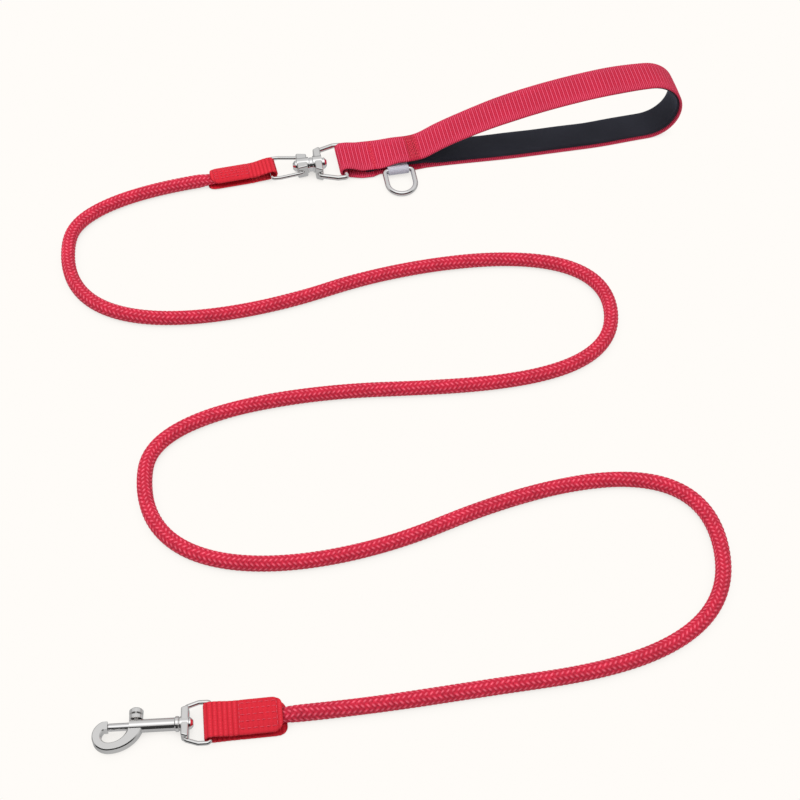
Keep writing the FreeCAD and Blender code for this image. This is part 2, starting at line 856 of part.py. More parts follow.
def ring_tab(placement):
    """The ribbon tab: folded round the D-ring's bar, with both ends between the lining's ends."""
    grip = size.ring_wire + size.tab_play
    outer = grip + size.tab_thickness
    half = size.tab_thickness
    depth = size.tab_depth
    slope_start = outer + size.tab_slope

    def side(reach, tail, end):
        """The tab's side view, in the YZ plane, as round the bar and then flat."""
        edges = [
            Part.Arc(Vector(0, 0, reach), Vector(0, -reach, 0), Vector(0, 0, -reach)).toShape(),
            line((0, 0, reach), (0, slope_start, tail)),
            line((0, slope_start, tail), (0, end, tail)),
            line((0, end, tail), (0, end, -tail)),
            line((0, end, -tail), (0, slope_start, -tail)),
            line((0, slope_start, -tail), (0, 0, -reach)),
        ]
        return Part.Face(Part.Wire(Part.__sortEdges__(edges)))

    width = size.tab_width
    whole = side(outer, half, depth).extrude(Vector(width, 0, 0))
    hollow = side(grip, size.tab_gap, depth + size.overshoot).extrude(Vector(width, 0, 0))
    tab = whole.cut(hollow)
    tab.translate(Vector(-width / 2, 0, 0))
    return shaped("d_ring_tab", tab, placement)


# ---------------------------------------------------------------- rope


def knot(x, y, heading, before, after):
    """A point the rope's axis passes through: where, which way, and how straight each side is."""
    way = Vector(math.cos(math.radians(heading)), math.sin(math.radians(heading)), 0)
    point = Vector(x + size.layout_x, y + size.layout_y, size.axis_height)
    return {"point": point, "way": way, "before": before, "after": after}


def sleeve_knot(sleeve_place, length, direction, reach):
    """Where the rope leaves a sleeve. direction is 1 along the rope's run and -1 against it."""
    outwards = sleeve_place.Rotation.multVec(Vector(1, 0, 0))
    point = sleeve_place.Base + outwards * (length + size.taper_length)
    tail = length - size.sleeve_shoulder - size.tail_gap
    return {"point": point, "way": outwards * direction, "before": reach, "after": reach, "tail": tail}


def strand(first, second):
    """The stretch of the rope's axis from one knot to the next."""
    bezier = Part.BezierCurve()
    leave = first["point"] + first["way"] * first["after"]
    arrive = second["point"] - second["way"] * second["before"]
    bezier.setPoles([first["point"], leave, arrive, second["point"]])
    return bezier.toShape()


def half_ball(point, way, radius):
    """A half ball that caps a run of rope, bulging along way."""
    return Part.makeSphere(radius, point, way, 0, 90, 360)


def oval(point, way, half_width, half_height):
    """A flat oval outline across the rope, the wide way level."""
    level = Vector(0, 0, 1).cross(way)
    ellipse = Part.Ellipse(
        point + level * half_width, point + Vector(0, 0, half_height), point
    )
    return Part.Wire(ellipse.toShape())


def flat_tail(end, way, radius, half_width, half_height):
    """The end of the rope inside a sleeve: from round to flat, then straight."""
    step = size.tail_step
    start = end["point"] - way * size.overshoot
    flat_start = end["point"] + way * size.taper_length
    outlines = [
        oval(start, way, radius - step / 2, radius - step),
        oval(flat_start, way, half_width, half_height),
        oval(flat_start + way * end["tail"], way, half_width, half_height),
    ]
    return Part.makeLoft(outlines, True, True)


def rope_solid(knots, radius, half_width, half_height, ball, tail):
    """One run of rope at a radius. ball caps its last knot, tail names the knot in a sleeve."""
    spine = Part.Wire([strand(a, b) for a, b in zip(knots, knots[1:])])
    start = knots[0]
    section = Part.Wire(Part.Circle(start["point"], start["way"], radius).toShape())
    solid = spine.makePipeShell([section], True, False)
    if ball:
        solid = solid.fuse(half_ball(knots[-1]["point"], knots[-1]["way"], radius))
    if tail == "first":
        solid = solid.fuse(flat_tail(start, -start["way"], radius, half_width, half_height))
    if tail == "last":
        solid = solid.fuse(flat_tail(knots[-1], knots[-1]["way"], radius, half_width, half_height))
    return solid


def rope_run(number, knots, cup, ball, tail):
    """One run of the rope: its braided sheath and its core, as two sub-parts."""
    outer = rope_solid(knots, size.rope_radius, size.flat_half_width, size.flat_half_height, ball, tail)
    bore = rope_solid(knots, size.sheath_bore, size.flat_bore_width, size.flat_bore_height, ball, tail)
    play = size.core_play
    core = rope_solid(
        knots, size.core_radius, size.flat_bore_width - play, size.flat_bore_height - play, ball, tail
    )
    sheath = outer.cut(bore)
    if cup:
        hollow = Part.makeSphere(size.rope_radius + size.joint_gap, knots[0]["point"])
        sheath = sheath.cut(hollow)
        core = core.cut(hollow)
    shaped(f"rope_sheath_run_{number}", sheath)
    shaped(f"rope_core_run_{number}", core)


# ---------------------------------------------------------------- the leash


def swivel_point(distance):
    """A point on the swivel's axis, at a distance from its washer."""
    angle = math.radians(size.swivel_heading)
    x = size.swivel_x + distance * math.cos(angle)
    y = size.swivel_y + distance * math.sin(angle)
    return x, y


def shifted(placement, sideways):
    """A placement moved along its own Y, because a strap lies to one side of its bar."""
    return placement.multiply(Placement(Vector(0, sideways, 0), Rotation()))


small_bar = swivel_point(-size.small_bar)
large_bar = swivel_point(size.large_bar)
swivel_height = size.axis_height + size.swivel_lift
swivel_place = lie(size.swivel_x, size.swivel_y, size.swivel_heading, swivel_height)
handle_place = shifted(lie(*large_bar, size.handle_heading), size.handle_shift)
handle_sleeve_place = shifted(lie(*small_bar, size.handle_sleeve_heading + 180), -size.sleeve_shift)
hook_place = lie(size.hook_bar_x, size.hook_bar_y, size.hook_heading)
hook_sleeve_place = lie(size.hook_bar_x, size.hook_bar_y, size.hook_sleeve_heading + 180)


def copy_of(placement):
    """A placement of its own for each sub-part, because multiplying changes the first one."""
    return Placement(placement)


def build_handle():
    handle_webbing(copy_of(handle_place))
    handle_lining(copy_of(handle_place))
    half = size.webbing_width / 2 - size.seam_margin
    top = size.axis_height + size.thread_lift
    front = size.front_seam
    front_top = top + size.swivel_lift * (1 - front / size.waist_length) + size.thread_lift
    stitching("handle_front_stitching", cross_row(front, half, front_top), copy_of(handle_place))
    rears = [size.waist_length - size.seam_spacing * index for index in range(REAR_ROWS)]
    rear_lift = size.swivel_lift * size.seam_spacing * (REAR_ROWS - 1) / size.waist_length
    rear_rows = [row for x in rears for row in cross_row(x, half, top + rear_lift)]
    stitching("handle_rear_stitching", rear_rows, copy_of(handle_place))
    ring_place = copy_of(handle_place).multiply(
        Placement(Vector(size.ring_along, -size.ring_offset, 0), Rotation())
    )
    ring_tab(copy_of(ring_place))
    d_ring(copy_of(ring_place))


def build_swivel():
    bore = "pin_radius + pin_play"
    swivel_frame("swivel_handle_frame", 1, "large", bore, copy_of(swivel_place))
    swivel_frame("swivel_rope_frame", -1, "small", bore, copy_of(swivel_place))
    swivel_pin(copy_of(swivel_place))
    swivel_washer(copy_of(swivel_place))


def build_sleeves():
    for end, lift, place in (
        ("handle", size.swivel_lift, handle_sleeve_place),
        ("hook", 0, hook_sleeve_place),
    ):
        length = getattr(size, f"{end}_sleeve_length")
        width = getattr(size, f"{end}_sleeve_width")
        sleeve(f"{end}_end_sleeve", length, width, lift, copy_of(place))
        sleeve_stitching(f"{end}_end_stitching", length, width, copy_of(place))


def build_hook():
    swivel_frame("swivel_eye", 1, "eye", "rivet_radius + pin_play", copy_of(hook_place))
    eye_rivet(copy_of(hook_place))
    hook_body(copy_of(hook_place))
    bolt(copy_of(hook_place))
    thumb_stud(copy_of(hook_place))
    bolt_spring(copy_of(hook_place))


def build_rope():
    """Five runs. The rope turns back at four bends, and each bend is a ball in a cup."""
    leaving = sleeve_knot(handle_sleeve_place, size.handle_sleeve_length, 1, 49)
    bends = [
        knot(-183.5, 106, -90, 20, 90),
        knot(127, 49, -90, 66, 53),
        knot(-123, -62, -90, 37, 81),
        knot(169, -116, -90, 77, 48),
    ]
    middles = [
        knot(-31, 67, 25, 53, 48),
        knot(-3, -8, -177, 52, 48),
        knot(28, -98, 27, 61, 55),
        knot(75, -187, -171, 46, 49),
    ]
    arriving = sleeve_knot(hook_sleeve_place, size.hook_sleeve_length, -1, 48)
    rope_run(1, [leaving, bends[0]], False, True, "first")
    for number in (2, 3, 4):
        rope_run(number, [bends[number - 2], middles[number - 2], bends[number - 1]], True, True, None)
    rope_run(5, [bends[3], middles[3], arriving], True, False, "last")


def check_and_write():
    """Stop on any failed object or unsound shape, then write one file for each sub-part."""
    doc.recompute()
    for thing in doc.Objects:
        if {"Invalid", "Error"} & set(thing.State):
            raise RuntimeError(f"{thing.Label} failed: {thing.State}")
    for part in parts:
        if part.Shape.isNull() or not part.Shape.isValid():
            raise RuntimeError(f"{part.Label} has an unsound shape")
    os.makedirs("parts", exist_ok=True)
    for part in parts:
        part.Shape.exportStep(os.path.join("parts", f"{part.Label}.step"))
    print(f"{len(parts)} sub-parts written")


build_handle()
build_swivel()
build_sleeves()
build_rope()
build_hook()
check_and_write()
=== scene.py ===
import json
import math

import bmesh
import bpy
import numpy as np
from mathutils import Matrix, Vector
from mathutils.bvhtree import BVHTree


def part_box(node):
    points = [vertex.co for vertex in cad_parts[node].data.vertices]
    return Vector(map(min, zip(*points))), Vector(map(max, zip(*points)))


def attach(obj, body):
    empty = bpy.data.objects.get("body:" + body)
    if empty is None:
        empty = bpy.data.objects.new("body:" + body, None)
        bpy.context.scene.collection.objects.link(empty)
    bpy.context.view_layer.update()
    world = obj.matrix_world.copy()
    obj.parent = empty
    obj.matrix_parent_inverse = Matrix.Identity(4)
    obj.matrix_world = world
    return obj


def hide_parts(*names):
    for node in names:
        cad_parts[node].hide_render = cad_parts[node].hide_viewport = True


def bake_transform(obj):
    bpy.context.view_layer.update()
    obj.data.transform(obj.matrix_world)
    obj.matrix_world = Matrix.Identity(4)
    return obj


# The looks of a rope training leash that lies on a pale floor. Metres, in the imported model's own frame.
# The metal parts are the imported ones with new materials. Every soft part is a new mesh that follows
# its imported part: the braided rope in four pieces, two sleeves, the hand loop, its lining and its tab.

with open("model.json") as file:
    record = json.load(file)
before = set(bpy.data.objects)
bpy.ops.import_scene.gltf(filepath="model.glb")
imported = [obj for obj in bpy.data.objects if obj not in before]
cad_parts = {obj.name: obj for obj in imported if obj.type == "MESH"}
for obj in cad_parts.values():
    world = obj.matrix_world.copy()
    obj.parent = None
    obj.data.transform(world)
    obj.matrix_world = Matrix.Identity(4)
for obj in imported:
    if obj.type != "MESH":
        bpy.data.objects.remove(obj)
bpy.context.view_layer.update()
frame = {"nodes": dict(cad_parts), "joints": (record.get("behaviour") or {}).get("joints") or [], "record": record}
joints = {joint["name"]: joint for joint in frame["joints"]}
mounts = {mount["name"]: mount for mount in frame["record"]["mounts"]}
MM = 0.001


# ---------------------------------------------------------------- where things lie


class Lay:
    """A strap's own axes on the floor plan: along it, across it and up, from an origin."""

    def __init__(self, origin, along):
        self.origin = np.array(origin, float)
        flat = np.array([along[0], along[1], 0.0])
        self.along = flat / np.linalg.norm(flat)
        self.across = np.array([-self.along[1], self.along[0], 0.0])
        self.up = np.array([0.0, 0.0, 1.0])

    def place(self, points):
        """Points of this lay, in the leash's frame."""
        axes = np.stack([self.along, self.across, self.up])
        return self.origin + np.asarray(points) @ axes

    def local(self, points):
        """Points of the leash's frame, in this lay."""
        axes = np.stack([self.along, self.across, self.up])
        return (np.asarray(points) - self.origin) @ axes.T


def vertices(node):
    return np.array([vertex.co for vertex in frame["nodes"][node].data.vertices], float)


def lay_of_strap(node, hinge, level):
    """A strap's lay from its mesh, which is alike to both sides. It starts beside its hinge."""
    points = np.unique(np.round(vertices(node), 6), axis=0)
    flat = points[:, :2]
    along = np.linalg.eigh(np.cov(flat.T))[1][:, 1]
    start = np.array(joints[hinge]["pos_m"], float)
    if (flat.mean(0) - start[:2]) @ along < 0:
        along = -along
    lay = Lay((start[0], start[1], level), along)
    sides = lay.local(points)[:, 1]
    lay.origin = lay.origin + lay.across * (sides.min() + sides.max()) / 2
    return lay


def side_links(node, lay):
    """Which points of a strap follow each other along the outlines of its side. Also all its points."""
    mesh = bmesh.new()
    mesh.from_mesh(frame["nodes"][node].data)
    bmesh.ops.remove_doubles(mesh, verts=mesh.verts, dist=0.001 * MM)
    points = lay.local([vertex.co for vertex in mesh.verts])
    edge_of_strap = points[:, 1].max() - 0.01 * MM
    on_side = {vertex.index for vertex in mesh.verts if points[vertex.index, 1] > edge_of_strap}
    links = {}
    for edge in mesh.edges:
        ends = [vertex.index for vertex in edge.verts]
        flat_faces = [face for face in edge.link_faces if on_side.issuperset(v.index for v in face.verts)]
        if on_side.issuperset(ends) and len(flat_faces) == 1:
            links.setdefault(ends[0], []).append(ends[1])
            links.setdefault(ends[1], []).append(ends[0])
    mesh.free()
    return links, points


def side_loops(node, lay):
    """The outlines of a strap seen from its side, as closed chains of (along, up), longest first."""
    links, points = side_links(node, lay)
    chains = []
    while links:
        here = next(iter(links))
        chain = [here]
        while True:
            onward = [other for other in links[here] if other not in chain[-2:]]
            onward = [other for other in onward if other in links]
            if here != chain[0]:
                links.pop(here)
            if not onward or onward[0] == chain[0]:
                break
            here = onward[0]
            chain.append(here)
        links.pop(chain[0], None)
        links = {key: value for key, value in links.items() if key not in chain}
        chains.append(points[chain][:, [0, 2]])
    return sorted(chains, key=len, reverse=True)


def evenly(chain, step, closed=True):
    """A chain of points with even steps between them."""
    chain = np.vstack([chain, chain[:1]]) if closed else np.asarray(chain)
    travelled = np.concatenate([[0.0], np.cumsum(np.linalg.norm(np.diff(chain, axis=0), axis=1))])
    count = max(int(round(travelled[-1] / step)), 4)
    marks = np.linspace(0.0, travelled[-1], count + 1)
    if closed:
        marks = marks[:-1]
    return np.stack([np.interp(marks, travelled, column) for column in chain.T], axis=1)


def softened(chain, passes, closed=True):
    """A chain with its small corners rubbed off. An open chain keeps its ends."""
    for _ in range(passes):
        if closed:
            chain = (np.roll(chain, 1, axis=0) + 2 * chain + np.roll(chain, -1, axis=0)) / 4
        else:
            inner = (chain[:-2] + 2 * chain[1:-1] + chain[2:]) / 4
            chain = np.vstack([chain[:1], inner, chain[-1:]])
    return chain


def outward_normals(chain):
    """Unit normals of a closed chain in a plane, pointing out of it."""
    ahead = np.roll(chain, -1, axis=0) - np.roll(chain, 1, axis=0)
    normals = np.stack([ahead[:, 1], -ahead[:, 0]], axis=1)
    normals /= np.linalg.norm(normals, axis=1)[:, None]
    following = np.roll(chain, -1, axis=0)
    area = np.sum(chain[:, 0] * following[:, 1] - following[:, 0] * chain[:, 1])
    return normals if area > 0 else -normals


def smoothstep(value, low, high):
    share = np.clip((np.asarray(value, float) - low) / (high - low), 0.0, 1.0)
    return share * share * (3 - 2 * share)


def eased(value, *stations):
    """A smooth course through stations, each of them (position, amount)."""
    course = np.full(np.shape(value), float(stations[0][1]))
    for (low, before), (high, after) in zip(stations, stations[1:]):
        course = course + (after - before) * smoothstep(value, low, high)
    return course


# ---------------------------------------------------------------- meshes


def ring_faces(rows, around, closed=False):
    """Faces over rings of points that are numbered ring by ring. An open run gets a cap at each end."""
    index = np.arange(rows * around).reshape(rows, around)
    beside = np.roll(index, -1, axis=1)
    after = np.roll(index, -1, axis=0)
    quads = np.stack([index, beside, np.roll(beside, -1, axis=0), after], axis=-1)
    if closed:
        return quads.reshape(-1, 4).tolist()
    return quads[:-1].reshape(-1, 4).tolist() + [index[0, ::-1].tolist(), index[-1].tolist()]


def skin(name, rings, closed=False, crown=None, fibres=None, tone=None):
    """A closed surface over rings of points. crown, tone and fibres are what the materials read; crown places
    painted shade and painted highlight.
    """
    mesh = bpy.data.meshes.new(name)
    mesh.from_pydata(rings.reshape(-1, 3).tolist(), [], ring_faces(*rings.shape[:2], closed))
    if crown is not None:
        add_attribute(mesh, "crown", crown)
    if tone is not None:
        add_attribute(mesh, "tone", tone)
    if fibres is not None:
        layer = mesh.uv_layers.new(name="fibres")
        corners = np.zeros(len(mesh.loops), int)
        mesh.loops.foreach_get("vertex_index", corners)
        layer.data.foreach_set("uv", fibres.reshape(-1, 2)[corners].ravel())
    return finished(name, mesh)


def add_attribute(mesh, name, values):
    attribute = mesh.attributes.new(name, "FLOAT", "POINT")
    attribute.data.foreach_set("value", np.asarray(values, np.float32).ravel())


def finished(name, mesh):
    """An object of a mesh, with its faces turned outwards and shaded smooth."""
    shape = bmesh.new()
    shape.from_mesh(mesh)
    bmesh.ops.recalc_face_normals(shape, faces=shape.faces)
    shape.to_mesh(mesh)
    shape.free()
    mesh.polygons.foreach_set("use_smooth", np.ones(len(mesh.polygons), bool))
    piece = bpy.data.objects.new(name, mesh)
    bpy.context.scene.collection.objects.link(piece)
    return piece


def strip_section(half_width, half_thickness, flats, bends):
    """A strap's cross-section as (across, out) points and their normals: two flats, two round edges."""
    flat = np.linspace(-1, 1, flats)
    turn = np.radians(np.linspace(90, -90, bends + 2)[1:-1])
    reach = half_width - half_thickness
    top = np.stack([flat * reach, np.full(flats, half_thickness)], axis=1)
    edge = np.stack([reach + half_thickness * np.cos(turn), half_thickness * np.sin(turn)], axis=1)
    points = np.vstack([top, edge, -top, -edge])
    edge_normals = np.stack([np.cos(turn), np.sin(turn)], axis=1)
    flat_normals = np.tile([0.0, 1.0], (flats, 1))
    normals = np.vstack([flat_normals, edge_normals, -flat_normals, -edge_normals])
    return points, normals


# ---------------------------------------------------------------- materials


class Paint:
    """A material or a world being mixed: nodes are added by kind and wired by their inputs' names."""

    def __init__(self, owner):
        self.owner = owner
        owner.use_nodes = True
        self.nodes = owner.node_tree.nodes
        self.links = owner.node_tree.links
        self.shader = self.nodes.get("Principled BSDF")

    def wire(self, node, **inputs):
        for name, value in inputs.items():
            socket = node.inputs[int(name[1:])] if name[0] == "_" else node.inputs[name.replace("_", " ")]
            if isinstance(value, bpy.types.NodeSocket):
                self.links.new(value, socket)
            else:
                socket.default_value = value
        return node

    def add(self, kind, **inputs):
        return self.wire(self.nodes.new(f"ShaderNode{kind}"), **inputs)

    def attribute(self, name):
        node = self.add("Attribute")
        node.attribute_name = name
        return node.outputs["Fac"]

    def noise(self, scale, detail=2.0, stretch=(1, 1, 1), source="Object"):
        """Noise from 0 to 1 over the object, or over the map of its fibres."""
        if source == "UV":
            place = self.add("UVMap")
            place.uv_map = "fibres"
            vector = place.outputs["UV"]
        else:
            vector = self.add("TexCoord").outputs[source]
        mapped = self.add("Mapping", Vector=vector, Scale=stretch)
        node = self.add("TexNoise", Vector=mapped.outputs["Vector"], Scale=scale, Detail=detail)
        return node.outputs["Fac"]

    def ramp(self, share, *stops):
        """Colours by position: each stop is (position, colour)."""
        node = self.add("ValToRGB", Fac=share)
        marks = node.color_ramp.elements
        while len(marks) < len(stops):
            marks.new(0.5)
        for mark, (position, colour) in zip(marks, stops):
            mark.position = position
            mark.color = (*colour, 1.0) if len(colour) == 3 else colour
        return node.outputs["Color"]

    def spread(self, share, low, high):
        """A share from 0 to 1 carried to low..high."""
        node = self.add("MapRange", Value=share)
        node.inputs["To Min"].default_value = low
        node.inputs["To Max"].default_value = high
        return node.outputs["Result"]

    def between(self, value, low, high):
        """0 at low, 1 at high, smooth in between."""
        node = self.add("MapRange", Value=value)
        node.interpolation_type = "SMOOTHSTEP"
        node.inputs["From Min"].default_value = low
        node.inputs["From Max"].default_value = high
        return node.outputs["Result"]

    def multiply(self, first, second):
        node = self.add("Math", _0=first, _1=second)
        node.operation = "MULTIPLY"
        return node.outputs[0]

    def mixed(self, share, first, second, mode="MIX"):
        node = self.add("Mix")
        node.data_type = "RGBA"
        node.blend_type = mode
        self.wire(node, _0=share, _6=first, _7=second)
        return node.outputs[2]

    def bump(self, height, distance, strength=1.0, normal=None):
        node = self.add("Bump", Height=height, Distance=distance, Strength=strength)
        if normal is not None:
            self.wire(node, Normal=normal)
        return node.outputs["Normal"]


def grey(value):
    return (value, value, value, 1.0)


def fabric(name, gap_shade, body, crown, roughness=0.62, fibre_stretch=(9.0, 1.0, 1.0)):
    """Woven or braided yarn with fine fibres: painted shade between the yarns, painted highlight on their crowns.
    """
    paint = Paint(bpy.data.materials.new(name))
    # Painted shade and highlight: the crown attribute runs the colour from the gap shade up to the crown
    # highlight.
    colour = paint.ramp(paint.attribute("crown"), (0.0, gap_shade), (0.5, body), (0.8, body), (1.0, crown))
    patches = paint.spread(paint.noise(55.0, 3.0), 0.86, 1.1)
    yarns = paint.spread(paint.attribute("tone"), 0.88, 1.08)
    colour = paint.mixed(1.0, colour, paint.multiply(patches, yarns), "MULTIPLY")
    fibres = paint.noise(3.0, 3.0, fibre_stretch, "UV")
    fluff = paint.noise(2600.0, 2.0)
    normal = paint.bump(fibres, 0.12 * MM, 0.5)
    normal = paint.bump(fluff, 0.05 * MM, 0.35, normal)
    paint.wire(
        paint.shader,
        Base_Color=colour,
        Roughness=paint.spread(fibres, roughness - 0.1, roughness + 0.12),
        Sheen_Weight=0.12,
        Sheen_Roughness=0.45,
        Sheen_Tint=(*crown, 1.0),
        Specular_IOR_Level=0.35,
        Normal=normal,
    )
    return paint.owner


def foam_lining():
    """The loop's lining: smooth blue-black knit over foam."""
    paint = Paint(bpy.data.materials.new("lining_knit"))
    patches = paint.noise(35.0, 4.0)
    knit = paint.noise(1500.0, 1.0)
    colour = paint.ramp(patches, (0.3, (0.011, 0.011, 0.017)), (0.7, (0.021, 0.021, 0.031)))
    normal = paint.bump(knit, 0.08 * MM, 0.5)
    normal = paint.bump(patches, 0.6 * MM, 0.3, normal)
    paint.wire(
        paint.shader,
        Base_Color=colour,
        Roughness=paint.spread(knit, 0.6, 0.85),
        Sheen_Weight=0.25,
        Sheen_Roughness=0.5,
        Sheen_Tint=(0.5, 0.55, 0.8, 1.0),
        Specular_IOR_Level=0.3,
        Normal=normal,
    )
    return paint.owner


def plated(name, colour, roughness, grain):
    """Bright plating over a casting or wire: soft edges, faint grain, a little dullness in places, darker hollows,
    lighter sharp edges and painted shade towards its outline.
    """
    paint = Paint(bpy.data.materials.new(name))
    cloudy = paint.noise(160.0, 4.0)
    fine = paint.noise(1800.0, 2.0)
    # Slightly darker in hollows and lighter on sharp edges, by the mesh's pointiness.
    edges = paint.add("NewGeometry").outputs["Pointiness"]
    pointiness_tone = paint.ramp(edges, (0.47, grey(0.0)), (0.56, grey(1.0)))
    tint = paint.mixed(pointiness_tone, (*[c * 0.93 for c in colour], 1.0), (*[min(c * 1.06, 1.0) for c in colour], 1.0))
    # Painted shade: the colour darkens towards the outline as the camera sees it.
    facing = paint.add("LayerWeight", Blend=0.4).outputs["Facing"]
    rim_shade = paint.ramp(facing, (0.4, grey(1.0)), (0.9, grey(0.4)))
    tint = paint.mixed(1.0, tint, rim_shade, "MULTIPLY")
    rounded = paint.add("Bevel", Radius=0.12 * MM).outputs["Normal"]
    normal = paint.bump(cloudy, grain * MM, 0.35, rounded)
    normal = paint.bump(fine, 0.3 * grain * MM, 0.3, normal)
    paint.wire(
        paint.shader,
        Base_Color=tint,
        Metallic=1.0,
        Roughness=paint.spread(cloudy, roughness * 0.7, roughness * 1.4),
        Normal=normal,
    )
    return paint.owner


# Each cloth: painted shade between the yarns, the yarns' own colour, painted highlight on their crowns.
SRGB = {
    "rope": ((112, 4, 26), (208, 32, 62), (246, 104, 126)),
    "webbing": ((128, 6, 30), (218, 36, 72), (252, 104, 138)),
    "sleeve": ((196, 20, 38), (228, 34, 54), (240, 62, 78)),
    "thread": ((150, 8, 30), (220, 36, 62), (248, 96, 114)),
    "ribbon": ((120, 118, 132), (190, 188, 202), (222, 220, 232)),
}


def linear(colour):
    """A screen colour from 0 to 255 as light."""
    shares = [channel / 255 for channel in colour]
    return tuple(c / 12.92 if c < 0.04045 else ((c + 0.055) / 1.055) ** 2.4 for c in shares)


def cloth_colours(name):
    return [linear(colour) for colour in SRGB[name]]


rope_yarn = fabric("rope_yarn", *cloth_colours("rope"), roughness=0.5, fibre_stretch=(7.0, 0.8, 1.0))
webbing_weave = fabric("webbing_weave", *cloth_colours("webbing"))
sleeve_weave = fabric("sleeve_weave", *cloth_colours("sleeve"))
sewing_thread = fabric("sewing_thread", *cloth_colours("thread"), roughness=0.45)
grey_ribbon = fabric("grey_ribbon", *cloth_colours("ribbon"), roughness=0.4)
lining_knit = foam_lining()
cast_nickel = plated("cast_nickel", (0.86, 0.85, 0.84), 0.1, 0.03)
wire_nickel = plated("wire_nickel", (0.88, 0.87, 0.87), 0.07, 0.02)
spring_steel = plated("spring_steel", (0.55, 0.55, 0.56), 0.3, 0.02)


# ---------------------------------------------------------------- hand loop

FLOOR_TO_AXIS = np.array(mounts["rest"]["pos_m"]) * (1, 1, 0)
HANDLE_REST = 100 * MM
ROPE_RADIUS = (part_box("rope_sheath_run_3")[1].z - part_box("rope_sheath_run_3")[0].z) / 2


def handle_lay():
    """The hand loop's axes: its x is 0 at the swivel's bar."""
    along = np.array(joints["d_ring_swing"]["axis"], float)
    origin = FLOOR_TO_AXIS - along * HANDLE_REST
    return Lay((origin[0], origin[1], ROPE_RADIUS), along)


HANDLE = handle_lay()
RIB_PITCH = 1.15 * MM
RIB_HEIGHT = 0.2 * MM
WARP_PITCH = 1.3 * MM
STRAP_BOW = 0.9 * MM
BOW_COURSE = ((60 * MM, 0.0), (100 * MM, 1.0), (165 * MM, 1.0), (206 * MM, 0.2))
BOW_LEVELS = (6 * MM, 20 * MM)
LINING_THICKNESS = 1.4 * MM
LINING_START = 12 * MM
NECK_LINING_WIDTH = 0.78
NECK_END = 40 * MM
LINING_SLACK = 0.18 * MM
LINING_PLAY = 0.05 * MM
REAR_SEAM_SHIFT = 5 * MM
REAR_SEAM_GROWTH = 2 * MM
LINING_STEP = 0.8 * MM
SEAM_STEP = 0.5 * MM
SEAM_ZONE = 90 * MM
SEAM_EDGE = 0.8 * MM
SEAM_DEPTH = 0.15 * MM
SEAM_INSET = 1.3 * MM
FRONT_SEAM_HALF_GAP = 0.5 * MM
REAR_SEAM_ROWS = 8

# How the loop lies, by distance from the swivel's bar: (position, amount).
LOW_STRAND_SLIDE = (
    (-4 * MM, 0.0),
    (11 * MM, 3.0 * MM),
    (15 * MM, 3.0 * MM),
    (21 * MM, 1.1 * MM),
    (41 * MM, 1.1 * MM),
    (50 * MM, 0.4 * MM),
    (110 * MM, 2.3 * MM),
    (150 * MM, 2.3 * MM),
    (195 * MM, 0.0),
)
HIGH_STRAND_SLIDE = ((2 * MM, 0.0), (10 * MM, 0.9 * MM), (20 * MM, 0.9 * MM), (34 * MM, 0.0))
NECK_DIP = ((1 * MM, 0.6 * MM), (11 * MM, 3.0 * MM), (20 * MM, 3.0 * MM), (34 * MM, 0.0))
NECK_LOW, NECK_HIGH = -2.4 * MM, 5.0 * MM
NECK_MIDDLE = (-1.5 * MM, 3 * MM)
TIPPING_LEVELS = (6 * MM, 30 * MM)
HIGH_STRAND_RISE = ((60 * MM, 0.0), (100 * MM, 1.7 * MM), (160 * MM, 1.7 * MM), (205 * MM, 0.0))


def ribs(along, across, pitch, sharpness=0.7):
    """The relief of ribbed webbing from 0 to 1: ribs across it, dimpled where the warp binds them."""
    rib = np.abs(np.sin(math.pi * along / pitch)) ** sharpness
    lane = across / WARP_PITCH
    bound = 1 - 0.3 * np.abs(np.sin(math.pi * (lane + 0.5 * np.floor(along / pitch)))) ** 6
    return rib * bound


def settled(points, half_width):
    """The loop isn't true: its strands slide apart, its neck dips and its upper strand tips forward."""
    points = np.array(points)
    x, y, z = points[..., 0].copy(), points[..., 1].copy(), points[..., 2].copy()
    low = 1 - smoothstep(z, *NECK_MIDDLE)
    near_share = (half_width - y) / (2 * half_width)
    points[..., 1] -= eased(x, *LOW_STRAND_SLIDE) * low + eased(x, *HIGH_STRAND_SLIDE) * (1 - low)
    in_neck = np.clip((z - NECK_LOW) / (NECK_HIGH - NECK_LOW), 0, 1)
    points[..., 2] -= eased(x, *NECK_DIP) * near_share * in_neck
    points[..., 2] += eased(x, *HIGH_STRAND_RISE) * (1 - near_share) * smoothstep(z, *TIPPING_LEVELS)
    return points


def loop_path(step):
    """The webbing's outside as a chain from the swivel's bar: lower strand first. Also its thickness."""
    outer, inner = side_loops("handle_webbing", HANDLE)[:2]
    half_thickness = (outer[:, 1].max() - inner[:, 1].max()) / 2
    outer = softened(evenly(outer, step), 8)
    if outer[np.argmax(outer[:, 1]), 0] > outer[(np.argmax(outer[:, 1]) - 1) % len(outer), 0]:
        outer = outer[::-1]
    outer = np.roll(outer, -np.argmin(outer[:, 0]), axis=0)
    return outer, outward_normals(outer), half_thickness


def strap_rings(middle, normals, out, side):
    """Rings of a strap in its lay, from its middle line and, per ring, what lies out of it and beside it."""
    x = middle[:, None, 0] + normals[:, None, 0] * out
    z = middle[:, None, 1] + normals[:, None, 1] * out
    return np.stack([x, side, z], axis=-1)


def bowed(middle, across, half_width):
    """How much the upper strand's middle stands over its edges."""
    free = eased(middle[:, 0], *BOW_COURSE)
    amount = STRAP_BOW * free * smoothstep(middle[:, 1], *BOW_LEVELS)
    return amount[:, None] * (1 - (across / half_width) ** 2)


def rear_seam():
    """Where the dense seam starts and ends along the loop: a little further out than its plain CAD rows."""
    reach = HANDLE.local(vertices("handle_rear_stitching"))[:, 0]
    return reach.min() + REAR_SEAM_SHIFT, reach.max() + REAR_SEAM_SHIFT + REAR_SEAM_GROWTH


